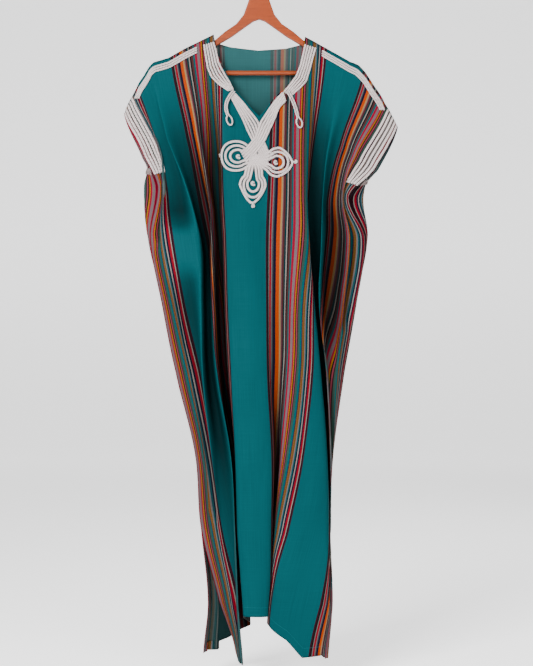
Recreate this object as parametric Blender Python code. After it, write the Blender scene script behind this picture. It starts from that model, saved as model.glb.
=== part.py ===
"""A striped house dress on a wooden hanger, as closed solids.

The dress is cut from two straight lengths of striped cloth, a front and a back.
They meet along the shoulders and down the sides, and the open tops of the sides
are the cuffs. A cloth point is named by its place across the cloth (mm from the
hanger's middle line, to the right) and by its level (0 on the shoulder line,
LAST_LEVEL at the hem). The origin is where a rod carries the hook.
Sizes are in millimetres unless a name says otherwise.
"""

import math
from collections import namedtuple

import bmesh
import bpy
from mathutils import Vector
from mathutils.bvhtree import BVHTree

MM = 0.001

# The cloth and its seams
WALL = 1.2
SEAM_GAP = 0.4
LAY_GAP = 0.8
MOTIF_GAP = 1.15
FRONT_CUFF_GAP = 1.7
BACK_CUFF_GAP = 2.0
CLOTH_LEFT = -367.0
CLOTH_RIGHT = 380.0

# The hanger
HANGER_X = 2.0
HANGER_HALF_SPAN = 213.0
UNDER_CLOTH = 5.0
HANGER_THICK = 12.0
BAR_RADIUS = 5.0
BAR_Z = -249.0
BAR_HALF_LENGTH = 190.0
HOOK_RADIUS = 22.0
HOOK_WIRE = 2.0
WOOD_TOP = -60.0

# The braid
BRAID_ROW = 4.7
BRAID_HIGH = 2.4
BRAID_LOW = 1.1
CUFF_ROWS = 5
COLLAR_ROWS = 5
COLLAR_CELLS = 9
SHOULDER_ROWS = 3
CUFF_FIRST = 3
CUFF_END_LEVEL = 1.6
CUFF_ROW = 7.6
CUFF_INSET = 2.0
SHOULDER_CELLS = 11
SHOULDER_DROP = 10.5
COLLAR_DROP = 3.0
PETAL_SIDES = 16
PETAL_EYE = 0.16
PETAL_POINT = 1.6
MOTIF_TURNS = 3
BEAD_RADIUS = 5.5
BEAD_FLAT = 0.45
BEAD_SEAT = 0.5

# The ties
TIE_RADIUS = 1.3
TIE_GAP = 0.7
TIE_STAND = LAY_GAP + BRAID_HIGH + TIE_RADIUS + 0.5
TIE_SEAT = 0.5
TIE_SPACING = 6.5
TIE_LOOP_STEPS = 12
TIE_LOOP_TURN = 150.0
TIE_LOOP_LONG = 0.95
TIE_LOOP_WIDE = 0.62

# The shoulder line: a row for each corner
Shoulder = namedtuple("Shoulder", "cloth across height")
SHOULDER_LINE = (
    Shoulder(-367, -292, -340),
    Shoulder(-345, -284, -316),
    Shoulder(-300, -259, -272),
    Shoulder(-262, -240, -238),
    Shoulder(-240, -228, -225),
    Shoulder(-205, -200, -216),
    Shoulder(-98, -98, -165),
    Shoulder(103, 103, -170),
    Shoulder(205, 198, -223),
    Shoulder(236, 221, -232),
    Shoulder(262, 236, -248),
    Shoulder(300, 257, -283),
    Shoulder(350, 287, -334),
    Shoulder(380, 304, -368),
)

# The front neckline with its slit: a row for each point
Edge = namedtuple("Edge", "cloth height")
FRONT_NECK = (
    Edge(-98, -165),
    Edge(-96, -180),
    Edge(-90, -198),
    Edge(-83, -224),
    Edge(-69, -248),
    Edge(-57, -268),
    Edge(-50, -286),
    Edge(-30, -308),
    Edge(-10, -333),
    Edge(2, -346),
    Edge(14, -333),
    Edge(38, -303),
    Edge(56, -290),
    Edge(70, -273),
    Edge(84, -256),
    Edge(93, -230),
    Edge(98, -202),
    Edge(101, -185),
    Edge(103, -170),
)
BACK_NECK = (
    Edge(-98, -165),
    Edge(-96, -178),
    Edge(-86, -184),
    Edge(-60, -191),
    Edge(0, -198),
    Edge(60, -194),
    Edge(90, -187),
    Edge(101, -182),
    Edge(103, -170),
)

# The outer edges of the two collar bands, from the shoulder to the slit's corner
COLLAR_LEFT = (
    Edge(-122, -190),
    Edge(-120, -213),
    Edge(-117, -243),
    Edge(-108, -262),
    Edge(-89, -276),
    Edge(-60, -291),
)
COLLAR_RIGHT = (
    Edge(129, -197),
    Edge(124, -215),
    Edge(117, -245),
    Edge(110, -272),
    Edge(98, -286),
    Edge(76, -304),
)

# The hem's height below the origin: a row for each turn of the edge
FRONT_HEM = (
    Edge(-367, -1508),
    Edge(-345, -1520),
    Edge(-300, -1521),
    Edge(-230, -1470),
    Edge(-75, -1417),
    Edge(27, -1418),
    Edge(90, -1428),
    Edge(147, -1436),
    Edge(200, -1466),
    Edge(240, -1504),
    Edge(290, -1500),
    Edge(330, -1513),
    Edge(380, -1522),
)
BACK_HEM = (
    Edge(-367, -1512),
    Edge(-300, -1508),
    Edge(-180, -1455),
    Edge(-40, -1432),
    Edge(60, -1434),
    Edge(180, -1462),
    Edge(300, -1500),
    Edge(380, -1521),
)

# Sections of the front: a row for each level. Each crest has its place across the
# cloth and across the body, and the cloth between two crests falls back in a valley.
# front is how far the crests stand forward, back is how far the valleys reach.
FRONT_CRESTS = ("side_l", "sleeve_l", "ridge_1", "ridge_2", "band_l", "band_r", "pleat_r")
FRONT_CRESTS += ("ridge_3", "ridge_4", "sleeve_r", "side_r")
Section = namedtuple("Section", ("level", "height", "front", "back") + FRONT_CRESTS)
FRONT_SECTIONS = (
    Section(1, None, 24, -8, (-367, -247), (-318, -214), (-250, -198), (-165, -131), (-75, -78),
            (27, 25), (75, 69), (125, 114), (203, 155), (330, 211), (380, 255)),
    Section(2, -500, 36, -8, (-367, -221), (-324, -208), (-243, -155), (-150, -108), (-75, -75),
            (27, 20), (72, 65), (118, 106), (215, 140), (332, 184), (380, 202)),
    Section(3, -610, 46, -5, (-367, -235), (-330, -211), (-245, -127), (-155, -100), (-75, -69),
            (27, 16), (72, 62), (120, 109), (230, 136), (330, 198), (380, 233)),
    Section(4, -759, 55, -1, (-367, -209), (-335, -185), (-262, -123), (-185, -96), (-75, -65),
            (27, 17), (75, 60), (152, 119), (250, 132), (335, 185), (380, 213)),
    Section(5, -901, 61, 2, (-367, -180), (-335, -153), (-290, -119), (-205, -88), (-75, -58),
            (27, 19), (75, 56), (176, 133), (315, 147), (350, 172), (380, 188)),
    Section(6, -1079, 67, 4, (-367, -138), (-338, -118), (-302, -100), (-240, -58), (-70, -48),
            (30, 30), (95, 51), (212, 145), (320, 156), (352, 161), (380, 164)),
    Section(7, -1240, 71, 5, (-367, -125), (-340, -101), (-312, -82), (-272, -49), (-67, -43),
            (28, 28), (118, 38), (249, 150), (300, 156, 0.5), (345, 157, 0.2), (380, 157)),
    Section(8, -1400, 75, 6, (-367, -86), (-345, -69), (-322, -56), (-300, -42), (-68, -36),
            (27, 26), (147, 31), (285, 152), (320, 160, 0.55), (352, 162, 0.2), (380, 161)),
    Section(9, -1520, 77, 6, (-367, -50), (-345, -43), (-325, -38), (-304, -34), (-70, -31),
            (27, 21), (150, 23), (300, 138), (330, 149, 0.6), (356, 152, 0.25), (380, 151)),
)

# Sections of the back, seen from the front: front and back swap places there
BACK_CRESTS = ("side_l", "under_l", "fold_1", "fold_2", "fold_3", "fold_4", "fold_5")
BACK_CRESTS += ("under_r", "side_r")
BackSection = namedtuple("BackSection", ("level", "height", "crest", "valley") + BACK_CRESTS)
BACK_SECTIONS = (
    BackSection(1, None, 22, 8, (-367, -253), (-350, -240, 0.75), (-250, -196), (-150, -132),
                (-50, -46), (70, 64), (220, 172), (363, 252, 0.72), (380, 262)),
    BackSection(2, -500, 32, 8, (-367, -221), (-333, -250, 0.35), (-255, -178), (-150, -118),
                (-52, -47), (74, 64), (230, 152), (346, 230, 0.35), (380, 202)),
    BackSection(3, -610, 40, 11, (-367, -235), (-352, -241), (-270, -178, 0.8), (-160, -112),
                (-54, -48), (78, 66), (240, 158, 0.75), (364, 239), (380, 233)),
    BackSection(4, -759, 48, 15, (-367, -209), (-350, -203, 0.35), (-280, -165, 0.75), (-170, -102),
                (-56, -48), (80, 66), (250, 150, 0.75), (363, 207, 0.35), (380, 213)),
    BackSection(5, -901, 54, 18, (-367, -180), (-350, -174), (-285, -146, 0.7), (-178, -92, 0.95),
                (-58, -46), (82, 66), (260, 138, 0.75), (363, 182), (380, 188)),
    BackSection(6, -1079, 60, 20, (-367, -138), (-350, -132), (-290, -118, 0.7), (-184, -78, 0.95),
                (-60, -42), (84, 68), (268, 130, 0.75), (363, 158), (380, 164)),
    BackSection(7, -1240, 64, 22, (-367, -125), (-350, -119), (-295, -108, 0.7), (-190, -70, 0.9),
                (-60, -36), (86, 72), (276, 126, 0.8), (363, 151), (380, 157)),
    BackSection(8, -1400, 68, 24, (-367, -110), (-350, -104), (-300, -94, 0.7), (-194, -60, 0.9),
                (-60, -28), (88, 78), (282, 128, 0.8), (363, 155), (380, 161)),
    BackSection(9, -1520, 70, 24, (-367, -120), (-350, -114), (-300, -90, 0.7), (-196, -56, 0.9),
                (-58, -24), (90, 80), (288, 126, 0.8), (363, 145), (380, 151)),
)
LAST_LEVEL = 9
SHOULDER_DEPTH = 10.0
FOLD_BOTTOM = 28.0
ROW_SPREAD = 1.12
SHOULDER_TURN = ((2.2, 0.72), (9.0, 1.0))
CROWN_DEPTH = 9.0
SIDE_ROOM = 6.0
SIDE_REACH = 60.0
SIDE_DEPTH = 18.0
CROWNED = ("band_l", "pleat_r", "fold_3")
OPENING = {"band_r": (2.6, 5.6)}
FULL_FOLD = 0.06
CREST_FORWARD = {"side": 0.0, "under": 0.28, "sleeve": 0.55, "outer": 0.85, "inner": 1.0}
UNDERARM_LEFT = -497.0
UNDERARM_RIGHT = -520.0
SHOULDER_SHARE = 0.6
HEM_SHARE = 0.58
CUFF_STAND = 16.0
FRONT_ROWS = 22
BACK_ROWS = 17

# The braid beside the slit, from its corner down into the motif
SLIT_LEFT_INNER = (Edge(-49, -291), Edge(-31, -311), Edge(-11, -336), Edge(-1, -352), Edge(-1, -395))
SLIT_LEFT_OUTER = (Edge(-58, -300), Edge(-50, -320), Edge(-38, -350), Edge(-26, -380), Edge(-15, -402))
SLIT_RIGHT_INNER = (Edge(56, -296), Edge(38, -309), Edge(15, -336), Edge(4, -352), Edge(2.5, -395))
SLIT_RIGHT_OUTER = (Edge(64, -313), Edge(49, -328), Edge(41, -350), Edge(29, -376), Edge(15, -402))

# The chest motif's loops: centre and inner tip on the cloth, half width, and the bead
Petal = namedtuple("Petal", "name centre tip width end")
PETALS = (
    Petal("motif_loop_left", (-44, -435), (-3, -441), 32, (-88, -431)),
    Petal("motif_loop_right", (46, -445), (6, -442), 30, (86, -446)),
    Petal("motif_loop_low", (-10, -495), (-2, -453), 29, (-10, -535)),
)

# The ties, each from the slit's corner down to its hanging loop, as (across, height)
Tie = namedtuple("Tie", "name points loop_radius")
TIES = (
    Tie("tie_left", ((-52, -291), (-61, -303), (-68, -318), (-69, -333), (-65, -346)), 13.0),
    Tie("tie_right", ((63, -291), (71, -306), (78, -323), (83, -340), (86, -352)), 13.0),
)

HEM_WIDTH = 21.0
# Hem turns that show: a row for each
HemTurn = namedtuple("HemTurn", "name start end")
FRONT_HEM_TURNS = (HemTurn("hem_turn_middle", -52, 14), HemTurn("hem_turn_right", 165, 262))
BACK_HEM_TURNS = (HemTurn("hem_turn_back_left", -358, -322),)

FRONT_KINDS = {
    "side_l": "side", "sleeve_l": "sleeve", "ridge_1": "outer", "ridge_2": "inner",
    "band_l": "inner", "band_r": "inner", "pleat_r": "inner", "ridge_3": "inner",
    "ridge_4": "outer", "sleeve_r": "sleeve", "side_r": "side",
}
BACK_KINDS = {
    "side_l": "side", "under_l": "under", "fold_1": "outer", "fold_2": "inner", "fold_3": "inner",
    "fold_4": "inner", "fold_5": "outer", "under_r": "under", "side_r": "side",
}


def blend(low, high, share):
    """The value a share of the way from low to high."""
    return low + (high - low) * share


def along(rows, place):
    """The height of an edge at a place across the cloth, straight between its rows."""
    if place <= rows[0].cloth:
        return rows[0].height
    for first, second in zip(rows, rows[1:]):
        if place <= second.cloth:
            share = (place - first.cloth) / (second.cloth - first.cloth)
            return blend(first.height, second.height, share)
    return rows[-1].height


def shoulder_point(place):
    """Where the shoulder line runs, as (across, height), at a place across the cloth."""
    place = min(max(place, CLOTH_LEFT), CLOTH_RIGHT)
    for first, second in zip(SHOULDER_LINE, SHOULDER_LINE[1:]):
        if place <= second.cloth:
            share = (place - first.cloth) / (second.cloth - first.cloth)
            return blend(first.across, second.across, share), blend(first.height, second.height, share)
    last = SHOULDER_LINE[-1]
    return last.across, last.height


def smooth(values, place):
    """A smooth curve through evenly spaced values, read at a place between them."""
    last = len(values) - 1
    index = min(max(int(place), 0), last - 1)
    share = place - index
    before = values[max(index - 1, 0)]
    start = values[index]
    end = values[index + 1]
    after = values[min(index + 2, last)]
    slope_start = (end - before) / 2
    slope_end = (after - start) / 2
    square = share * share
    cube = square * share
    return (
        (2 * cube - 3 * square + 1) * start
        + (cube - 2 * square + share) * slope_start
        + (3 * square - 2 * cube) * end
        + (cube - square) * slope_end
    )


def round_curve(points, index, share):
    """A point between two knots of a section, on a centripetal curve through them."""
    last = len(points) - 1
    p1 = points[index]
    p2 = points[index + 1]
    p0 = points[index - 1] if index else p1 + (p1 - p2)
    p3 = points[index + 2] if index + 1 < last else p2 + (p2 - p1)
    t0 = 0.0
    t1 = t0 + max((p1 - p0).length, 0.01) ** 0.5
    t2 = t1 + max((p2 - p1).length, 0.01) ** 0.5
    t3 = t2 + max((p3 - p2).length, 0.01) ** 0.5
    t = blend(t1, t2, share)
    a1 = p0.lerp(p1, (t - t0) / (t1 - t0))
    a2 = p1.lerp(p2, (t - t1) / (t2 - t1))
    a3 = p2.lerp(p3, (t - t2) / (t3 - t2))
    b1 = a1.lerp(a2, (t - t0) / (t2 - t0))
    b2 = a2.lerp(a3, (t - t1) / (t3 - t1))
    return b1.lerp(b2, (t - t1) / (t2 - t1))


def crown(first, second, cloth, forward):
    """The middle of a band that bows forward between two crests."""
    chord = (second[1] - first[1]).length
    bow = min(math.sqrt(0.375 * chord * max(cloth - chord, 0.0)), CROWN_DEPTH)
    middle = first[1].lerp(second[1], 0.5) + Vector((0.0, forward * bow))
    return [(blend(first[0], second[0], 0.5), middle)]


def valley(first, second, cloth, reach):
    """The bottom of the fold between two crests, deep enough to use up the cloth.

    first and second are (place on the cloth, point). The fold goes back no further
    than reach, and what is still left over widens its bottom, up to FOLD_BOTTOM.
    """
    chord = (second[1] - first[1]).length
    middle = (first[1] + second[1]) / 2
    room = reach - middle.y
    needed = math.sqrt(max((cloth / 2) ** 2 - (chord / 2) ** 2, 1.0))
    depth = min(needed, abs(room)) * (1 if room > 0 else -1)
    width = min(max(cloth - 2 * abs(depth), 0.0), FOLD_BOTTOM)
    width = max(width, min(6.0, 0.4 * chord))
    side = max(math.hypot(depth, (chord - width) / 2), 1.0)
    total = 2 * side + width
    start = first[0] + cloth * side / total
    end = second[0] - cloth * side / total
    left = Vector((middle.x - width / 2, middle.y + depth))
    right = Vector((middle.x + width / 2, middle.y + depth))
    return [(start, left), (end, right)]


class Panel:
    """One length of cloth, hung in its folds.

    sections are its rows of crests, neck and hem its top and bottom edges, and
    facing is -1 for the front and 1 for the back.
    """

    def __init__(self, sections, crest_names, kinds, neck, hem, facing):
        self.sections = sections
        self.crest_names = crest_names
        self.kinds = kinds
        self.neck = neck
        self.hem = hem
        self.facing = facing
        self.cache = {}

    def limits(self, row):
        """How far a row's crests and valleys stand, along Y."""
        if self.facing < 0:
            return -row.front, row.back
        return row.crest, row.valley

    def crest(self, name, level):
        """A crest's place on the cloth and point (across, depth) at a level."""
        usual = CREST_FORWARD[self.kinds[name]]
        cloths = []
        acrosses = []
        depths = []
        first_cloth = getattr(self.sections[0], name)[0]
        cloths.append(first_cloth)
        acrosses.append(shoulder_point(first_cloth)[0])
        depths.append(self.facing * SHOULDER_DEPTH)
        for row in self.sections:
            place, across, *given = getattr(row, name)
            crest, _ = self.limits(row)
            cloths.append(place)
            acrosses.append(across)
            depths.append(crest * (given[0] if given else usual) + self.facing * SEAM_GAP)
        if usual == 0.0:
            depths[0] = self.facing * SEAM_GAP
            depths[1] = self.facing * CUFF_STAND
        depth = self.facing * max(self.facing * smooth(depths, level), SEAM_GAP)
        return smooth(cloths, level), Vector((smooth(acrosses, level), depth))

    def knots(self, level):
        """The section at a level, as (place on the cloth, point) from left to right."""
        key = round(level, 4)
        if key in self.cache:
            return self.cache[key]
        reach_rows = [self.facing * SHOULDER_DEPTH] + [self.limits(row)[1] for row in self.sections]
        reach = smooth(reach_rows, level)
        crests = [self.crest(name, level) for name in self.crest_names]
        found = [crests[0]]
        names = zip(self.crest_names, self.crest_names[1:])
        for (name, after), first, second in zip(names, crests, crests[1:]):
            cloth = second[0] - first[0]
            if {self.kinds[name], self.kinds[after]} == {"side", "under"}:
                folded = []
            elif name in CROWNED:
                folded = crown(first, second, cloth, self.facing)
            else:
                folded = valley(first, second, cloth, reach)
            if name in OPENING:
                start, end = OPENING[name]
                ease = min(max((level - start) / (end - start), 0.0), 1.0)
            else:
                ease = min(level, 1.0)
            spare = 1 - (second[1] - first[1]).length / cloth
            ease *= min(max(spare / FULL_FOLD, 0.0), 1.0)
            for place, point in folded:
                self.keep_inside(point, crests[0][1].x, crests[-1][1].x)
                flat_share = (place - first[0]) / (second[0] - first[0])
                flat = first[1].lerp(second[1], flat_share)
                found.append((place, flat.lerp(point, ease)))
            found.append(second)
        self.cache[key] = found
        return found

    def keep_inside(self, point, left, right):
        """Hold a fold's bottom inside the side seams, and shallow where it is near one."""
        point.x = min(max(point.x, left + SIDE_ROOM), right - SIDE_ROOM)
        near = min(point.x - left, right - point.x) / SIDE_REACH
        if near < 1:
            limit = self.facing * blend(SIDE_DEPTH, 0.0, near)
            point.y = self.facing * max(self.facing * point.y, self.facing * limit)

    def height(self, place, level):
        """The height of a cloth point."""
        top = shoulder_point(place)[1]
        underarm = blend(UNDERARM_LEFT, UNDERARM_RIGHT, (place - CLOTH_LEFT) / (CLOTH_RIGHT - CLOTH_LEFT))
        heights = [top, blend(top, underarm, SHOULDER_SHARE), underarm]
        heights += [row.height for row in self.sections[2:-1]]
        bottom = along(self.hem, place)
        heights.append(bottom)
        heights[-2] = blend(heights[-3], bottom, HEM_SHARE)
        index = min(int(level), LAST_LEVEL - 1)
        return blend(heights[index], heights[index + 1], level - index)

    def top_level(self, place):
        """The level of the panel's top edge: the shoulder line, or lower at the neck."""
        if not self.neck[0].cloth < place < self.neck[-1].cloth:
            return 0.0
        edge = along(self.neck, place)
        top = self.height(place, 0.0)
        return max((top - edge) / (top - self.height(place, 1.0)), 0.0)

    def point(self, place, level):
        """A cloth point in space, in millimetres."""
        knots = self.knots(level)
        index = 0
        while index < len(knots) - 2 and place > knots[index + 1][0]:
            index += 1
        first = knots[index]
        second = knots[index + 1]
        share = min(max((place - first[0]) / max(second[0] - first[0], 0.01), 0.0), 1.0)
        section = round_curve([knot[1] for knot in knots], index, share)
        height = self.height(place, level)
        depth = section.y
        if index in (0, len(knots) - 2):
            depth = self.facing * max(self.facing * depth, SEAM_GAP)
        if level <= 0.0:
            depth = self.facing * SEAM_GAP
        return Vector((section.x, depth, height))


FRONT = Panel(FRONT_SECTIONS, FRONT_CRESTS, FRONT_KINDS, FRONT_NECK, FRONT_HEM, -1)
BACK = Panel(BACK_SECTIONS, BACK_CRESTS, BACK_KINDS, BACK_NECK, BACK_HEM, 1)


def spread(start, end, cells):
    """Evenly spaced values from start to end, both included."""
    return [blend(start, end, step / cells) for step in range(cells + 1)]


class Sheet:
    """A panel's points on a grid, which its wall and all that lies on it share."""

    def __init__(self, panel, columns, rows):
        self.panel = panel
        self.columns = columns
        self.rows = rows
        self.points = []
        for place in columns:
            top = panel.top_level(place)
            line = []
            for row in range(rows + 1):
                share = row / rows
                level = blend(top, LAST_LEVEL, share ** ROW_SPREAD)
                line.append(panel.point(place, level))
            self.points.append(line)
        self.levels = [0.0] * len(SHOULDER_TURN)
        self.levels += [LAST_LEVEL * (row / rows) ** ROW_SPREAD for row in range(rows + 1)]
        for line in self.points:
            self.add_shoulder_rows(line)
        self.tree = self.surface()

    def add_shoulder_rows(self, line):
        """Give a column two points near its top, where the cloth turns over the hanger."""
        top = line[0]
        second = line[1]
        for drop, out in reversed(SHOULDER_TURN):
            share = min(drop / (top.z - second.z), 0.8)
            turned = top.lerp(second, share)
            if abs(top.y) < SHOULDER_DEPTH * 0.5:
                turned.y = blend(top.y, second.y, out)
            line.insert(1, turned)

    def surface(self):
        """The sheet's triangles, for finding the cloth nearest to a point."""
        count = len(self.points[0])
        flat = [point for line in self.points for point in line]
        triangles = []
        for i in range(len(self.points) - 1):
            for k in range(count - 1):
                first = i * count + k
                second = first + count
                triangles.append((first, second, second + 1))
                triangles.append((first, second + 1, first + 1))
        return BVHTree.FromPolygons(flat, triangles)

    def at(self, place, height):
        """The point of the faceted sheet at a place across the cloth and a height."""
        columns = self.columns
        index = 0
        while index < len(columns) - 2 and place > columns[index + 1]:
            index += 1
        share = (place - columns[index]) / (columns[index + 1] - columns[index])
        left = self.points[index]
        right = self.points[index + 1]
        line = [a.lerp(b, share) for a, b in zip(left, right)]
        spot = line[-1]
        for above, below in zip(line, line[1:]):
            if below.z <= height:
                down = (above.z - height) / max(above.z - below.z, 0.01)
                spot = above.lerp(below, max(down, 0.0))
                break
        return self.tree.find_nearest(spot)[0]

    def out(self, place, height):
        """The outward direction of the cloth there."""
        step = 3.0
        across = self.at(place + step, height) - self.at(place - step, height)
        down = self.at(place, height - step) - self.at(place, height + step)
        normal = across.cross(down)
        if normal.y * self.panel.facing < 0:
            normal.negate()
        return normal.normalized()


def link(name, mesh, finish):
    """Add a named object for a mesh."""
    thing = bpy.data.objects.new(name, mesh)
    mesh.materials.clear()
    mesh.materials.append(finish)
    bpy.context.collection.objects.link(thing)
    return thing


def finish_mesh(bm, name, finish, angle=40.0):
    """Turn a bmesh into an object with outward faces, shaded smooth."""
    bm.normal_update()
    bmesh.ops.recalc_face_normals(bm, faces=bm.faces[:])
    mesh = bpy.data.meshes.new(name)
    bm.to_mesh(mesh)
    bm.free()
    mesh.shade_smooth()
    mesh.set_sharp_from_angle(angle=math.radians(angle))
    return link(name, mesh, finish)


def wall(name, outer, inner, finish, closed=False):
    """A closed wall between two grids of points of the same size, in millimetres.

    The grids are lists of lines. A closed wall joins its last line to its first.
    """
    bm = bmesh.new()
    sides = []
    for grid in (outer, inner):
        sides.append([[bm.verts.new(point * MM) for point in line] for line in grid])
    lines = len(outer)
    count = len(outer[0])
    pairs = range(lines if closed else lines - 1)
    for i in pairs:
        j = (i + 1) % lines
        for k in range(count - 1):
            top = sides[0]
            low = sides[1]
            bm.faces.new((top[i][k], top[j][k], top[j][k + 1]))
            bm.faces.new((top[i][k], top[j][k + 1], top[i][k + 1]))
            bm.faces.new((low[i][k], low[j][k + 1], low[j][k]))
            bm.faces.new((low[i][k], low[i][k + 1], low[j][k + 1]))
        for k, turn in ((0, 1), (count - 1, -1)):
            edge = (sides[0][i][k], sides[1][i][k], sides[1][j][k], sides[0][j][k])
            bm.faces.new(edge[::turn])
    if not closed:
        for i, turn in ((0, -1), (lines - 1, 1)):
            for k in range(count - 1):
                edge = (sides[0][i][k], sides[1][i][k], sides[1][i][k + 1], sides[0][i][k + 1])
                bm.faces.new(edge[::turn])
    return finish_mesh(bm, name, finish)


def grid_normals(grid, facing):
    """The outward direction at each point of a grid."""
    lines = len(grid)
    count = len(grid[0])
    normals = []
    for i in range(lines):
        line = []
        for k in range(count):
            across = grid[min(i + 1, lines - 1)][k] - grid[max(i - 1, 0)][k]
            down = grid[i][min(k + 1, count - 1)] - grid[i][max(k - 1, 0)]
            normal = down.cross(across) * -facing
            line.append(normal.normalized())
        normals.append(line)
    return normals


def panel_wall(sheet, name, finish):
    """A panel's cloth: its sheet with a wall's thickness inside it."""
    facing = sheet.panel.facing
    normals = grid_normals(sheet.points, facing)
    for line in (normals[0], normals[-1]):
        for normal in line:
            normal.y = 0.0
            normal.normalize()
    for column, line in zip(sheet.columns, normals):
        if sheet.panel.top_level(column) <= 0.0:
            line[0].y = 0.0
            line[0].normalize()
    inner = []
    for line, directions in zip(sheet.points, normals):
        inner.append([point - normal * WALL for point, normal in zip(line, directions)])
    return wall(name, sheet.points, inner, finish)


def material(name, colour, roughness, metallic=0.0):
    """A plain finish for a piece."""
    finish = bpy.data.materials.new(name)
    finish.use_nodes = True
    shader = finish.node_tree.nodes["Principled BSDF"]
    shader.inputs["Base Color"].default_value = (*colour, 1.0)
    shader.inputs["Roughness"].default_value = roughness
    shader.inputs["Metallic"].default_value = metallic
    return finish


def rib_heights(rows):
    """The braid's height at each point across it: high on a cord, low between two."""
    heights = [BRAID_LOW]
    for _ in range(rows):
        heights += [BRAID_HIGH, BRAID_LOW]
    return heights


def braid(sheet, name, route, rows, finish):
    """Rows of cord sewn side by side along a route on a sheet.

    route is a list of ((place, height), (place, height)): the ends of each line
    across the band, on the cloth.
    """
    heights = rib_heights(rows)
    outer = []
    inner = []
    for start, end in route:
        line_out = []
        line_in = []
        for step, rise in enumerate(heights):
            share = step / (len(heights) - 1)
            place = blend(start[0], end[0], share)
            height = blend(start[1], end[1], share)
            base = sheet.at(place, height)
            normal = sheet.out(place, height)
            line_out.append(base + normal * (LAY_GAP + rise))
            line_in.append(base + normal * LAY_GAP)
        outer.append(line_out)
        inner.append(line_in)
    return wall(name, outer, inner, finish, closed=False)


def resample(points, count):
    """Evenly spaced points along a line of (place, height) points."""
    lengths = [0.0]
    for first, second in zip(points, points[1:]):
        lengths.append(lengths[-1] + math.dist(first, second))
    result = []
    for step in range(count + 1):
        target = lengths[-1] * step / count
        index = 0
        while index < len(points) - 2 and target > lengths[index + 1]:
            index += 1
        share = (target - lengths[index]) / max(lengths[index + 1] - lengths[index], 1e-6)
        start = points[index]
        end = points[index + 1]
        result.append((blend(start[0], end[0], share), blend(start[1], end[1], share)))
    return result


def petal(sheet, name, centre, tip, width, turns, finish):
    """A loop of the chest motif: turns of cord round a centre, drawn out to a point."""
    rings = 2 * turns
    around = PETAL_SIDES
    outer = [[] for _ in range(around)]
    inner = [[] for _ in range(around)]
    long_axis = Vector((tip[0] - centre[0], tip[1] - centre[1]))
    length = long_axis.length
    direction = long_axis.normalized()
    square = Vector((-direction.y, direction.x))
    for ring in range(rings + 1):
        share = PETAL_EYE + (1 - PETAL_EYE) * ring / rings
        rise = BRAID_HIGH if ring % 2 else BRAID_LOW
        for side in range(around):
            turn = 2 * math.pi * side / around
            forward = math.cos(turn)
            reach = width * (forward if forward < 0 else forward ** PETAL_POINT * length / width)
            swell = width * math.sin(turn)
            spot = (direction * reach + square * swell) * share
            place = centre[0] + spot.x
            height = centre[1] + spot.y
            base = sheet.at(place, height)
            normal = sheet.out(place, height)
            outer[side].append(base + normal * (MOTIF_GAP + rise))
            inner[side].append(base + normal * MOTIF_GAP)
    return wall(name, outer, inner, finish, closed=True)


def bead(sheet, name, centre, radius, finish):
    """A small coiled knot of cord at the end of a loop."""
    base = sheet.at(*centre)
    normal = sheet.out(*centre)
    bm = bmesh.new()
    bmesh.ops.create_uvsphere(bm, u_segments=10, v_segments=6, radius=radius * MM)
    turn = Vector((0, 0, 1)).rotation_difference(normal).to_matrix()
    for vert in bm.verts:
        vert.co.z *= BEAD_FLAT
        vert.co = turn @ vert.co + (base + normal * (BEAD_SEAT + radius * BEAD_FLAT)) * MM
    return finish_mesh(bm, name, finish)


def tube(name, points, radius, finish, resolution=2):
    """A cord or wire along points, in millimetres, with filled ends."""
    curve = bpy.data.curves.new(name, "CURVE")
    curve.dimensions = "3D"
    curve.bevel_depth = radius * MM
    curve.bevel_resolution = resolution
    curve.use_fill_caps = True
    spline = curve.splines.new("POLY")
    spline.points.add(len(points) - 1)
    for knot, point in zip(spline.points, points):
        knot.co = (*(point * MM), 1.0)
    thing = bpy.data.objects.new(name, curve)
    curve.materials.append(finish)
    bpy.context.collection.objects.link(thing)
    return thing


def smooth_route(points, spacing):
    """Evenly spaced points on a smooth curve through a cord's own points."""
    fine = []
    for index in range(len(points) - 1):
        fine += [round_curve(points, index, step / 12) for step in range(12)]
    fine.append(points[-1])
    length = sum((b - a).length for a, b in zip(fine, fine[1:]))
    count = max(round(length / spacing), 2)
    result = [fine[0]]
    walked = 0.0
    for first, second in zip(fine, fine[1:]):
        run = (second - first).length
        while len(result) < count and walked + run >= len(result) * length / count:
            share = (len(result) * length / count - walked) / run
            result.append(first.lerp(second, share))
        walked += run
    result.append(fine[-1])
    return result


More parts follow.
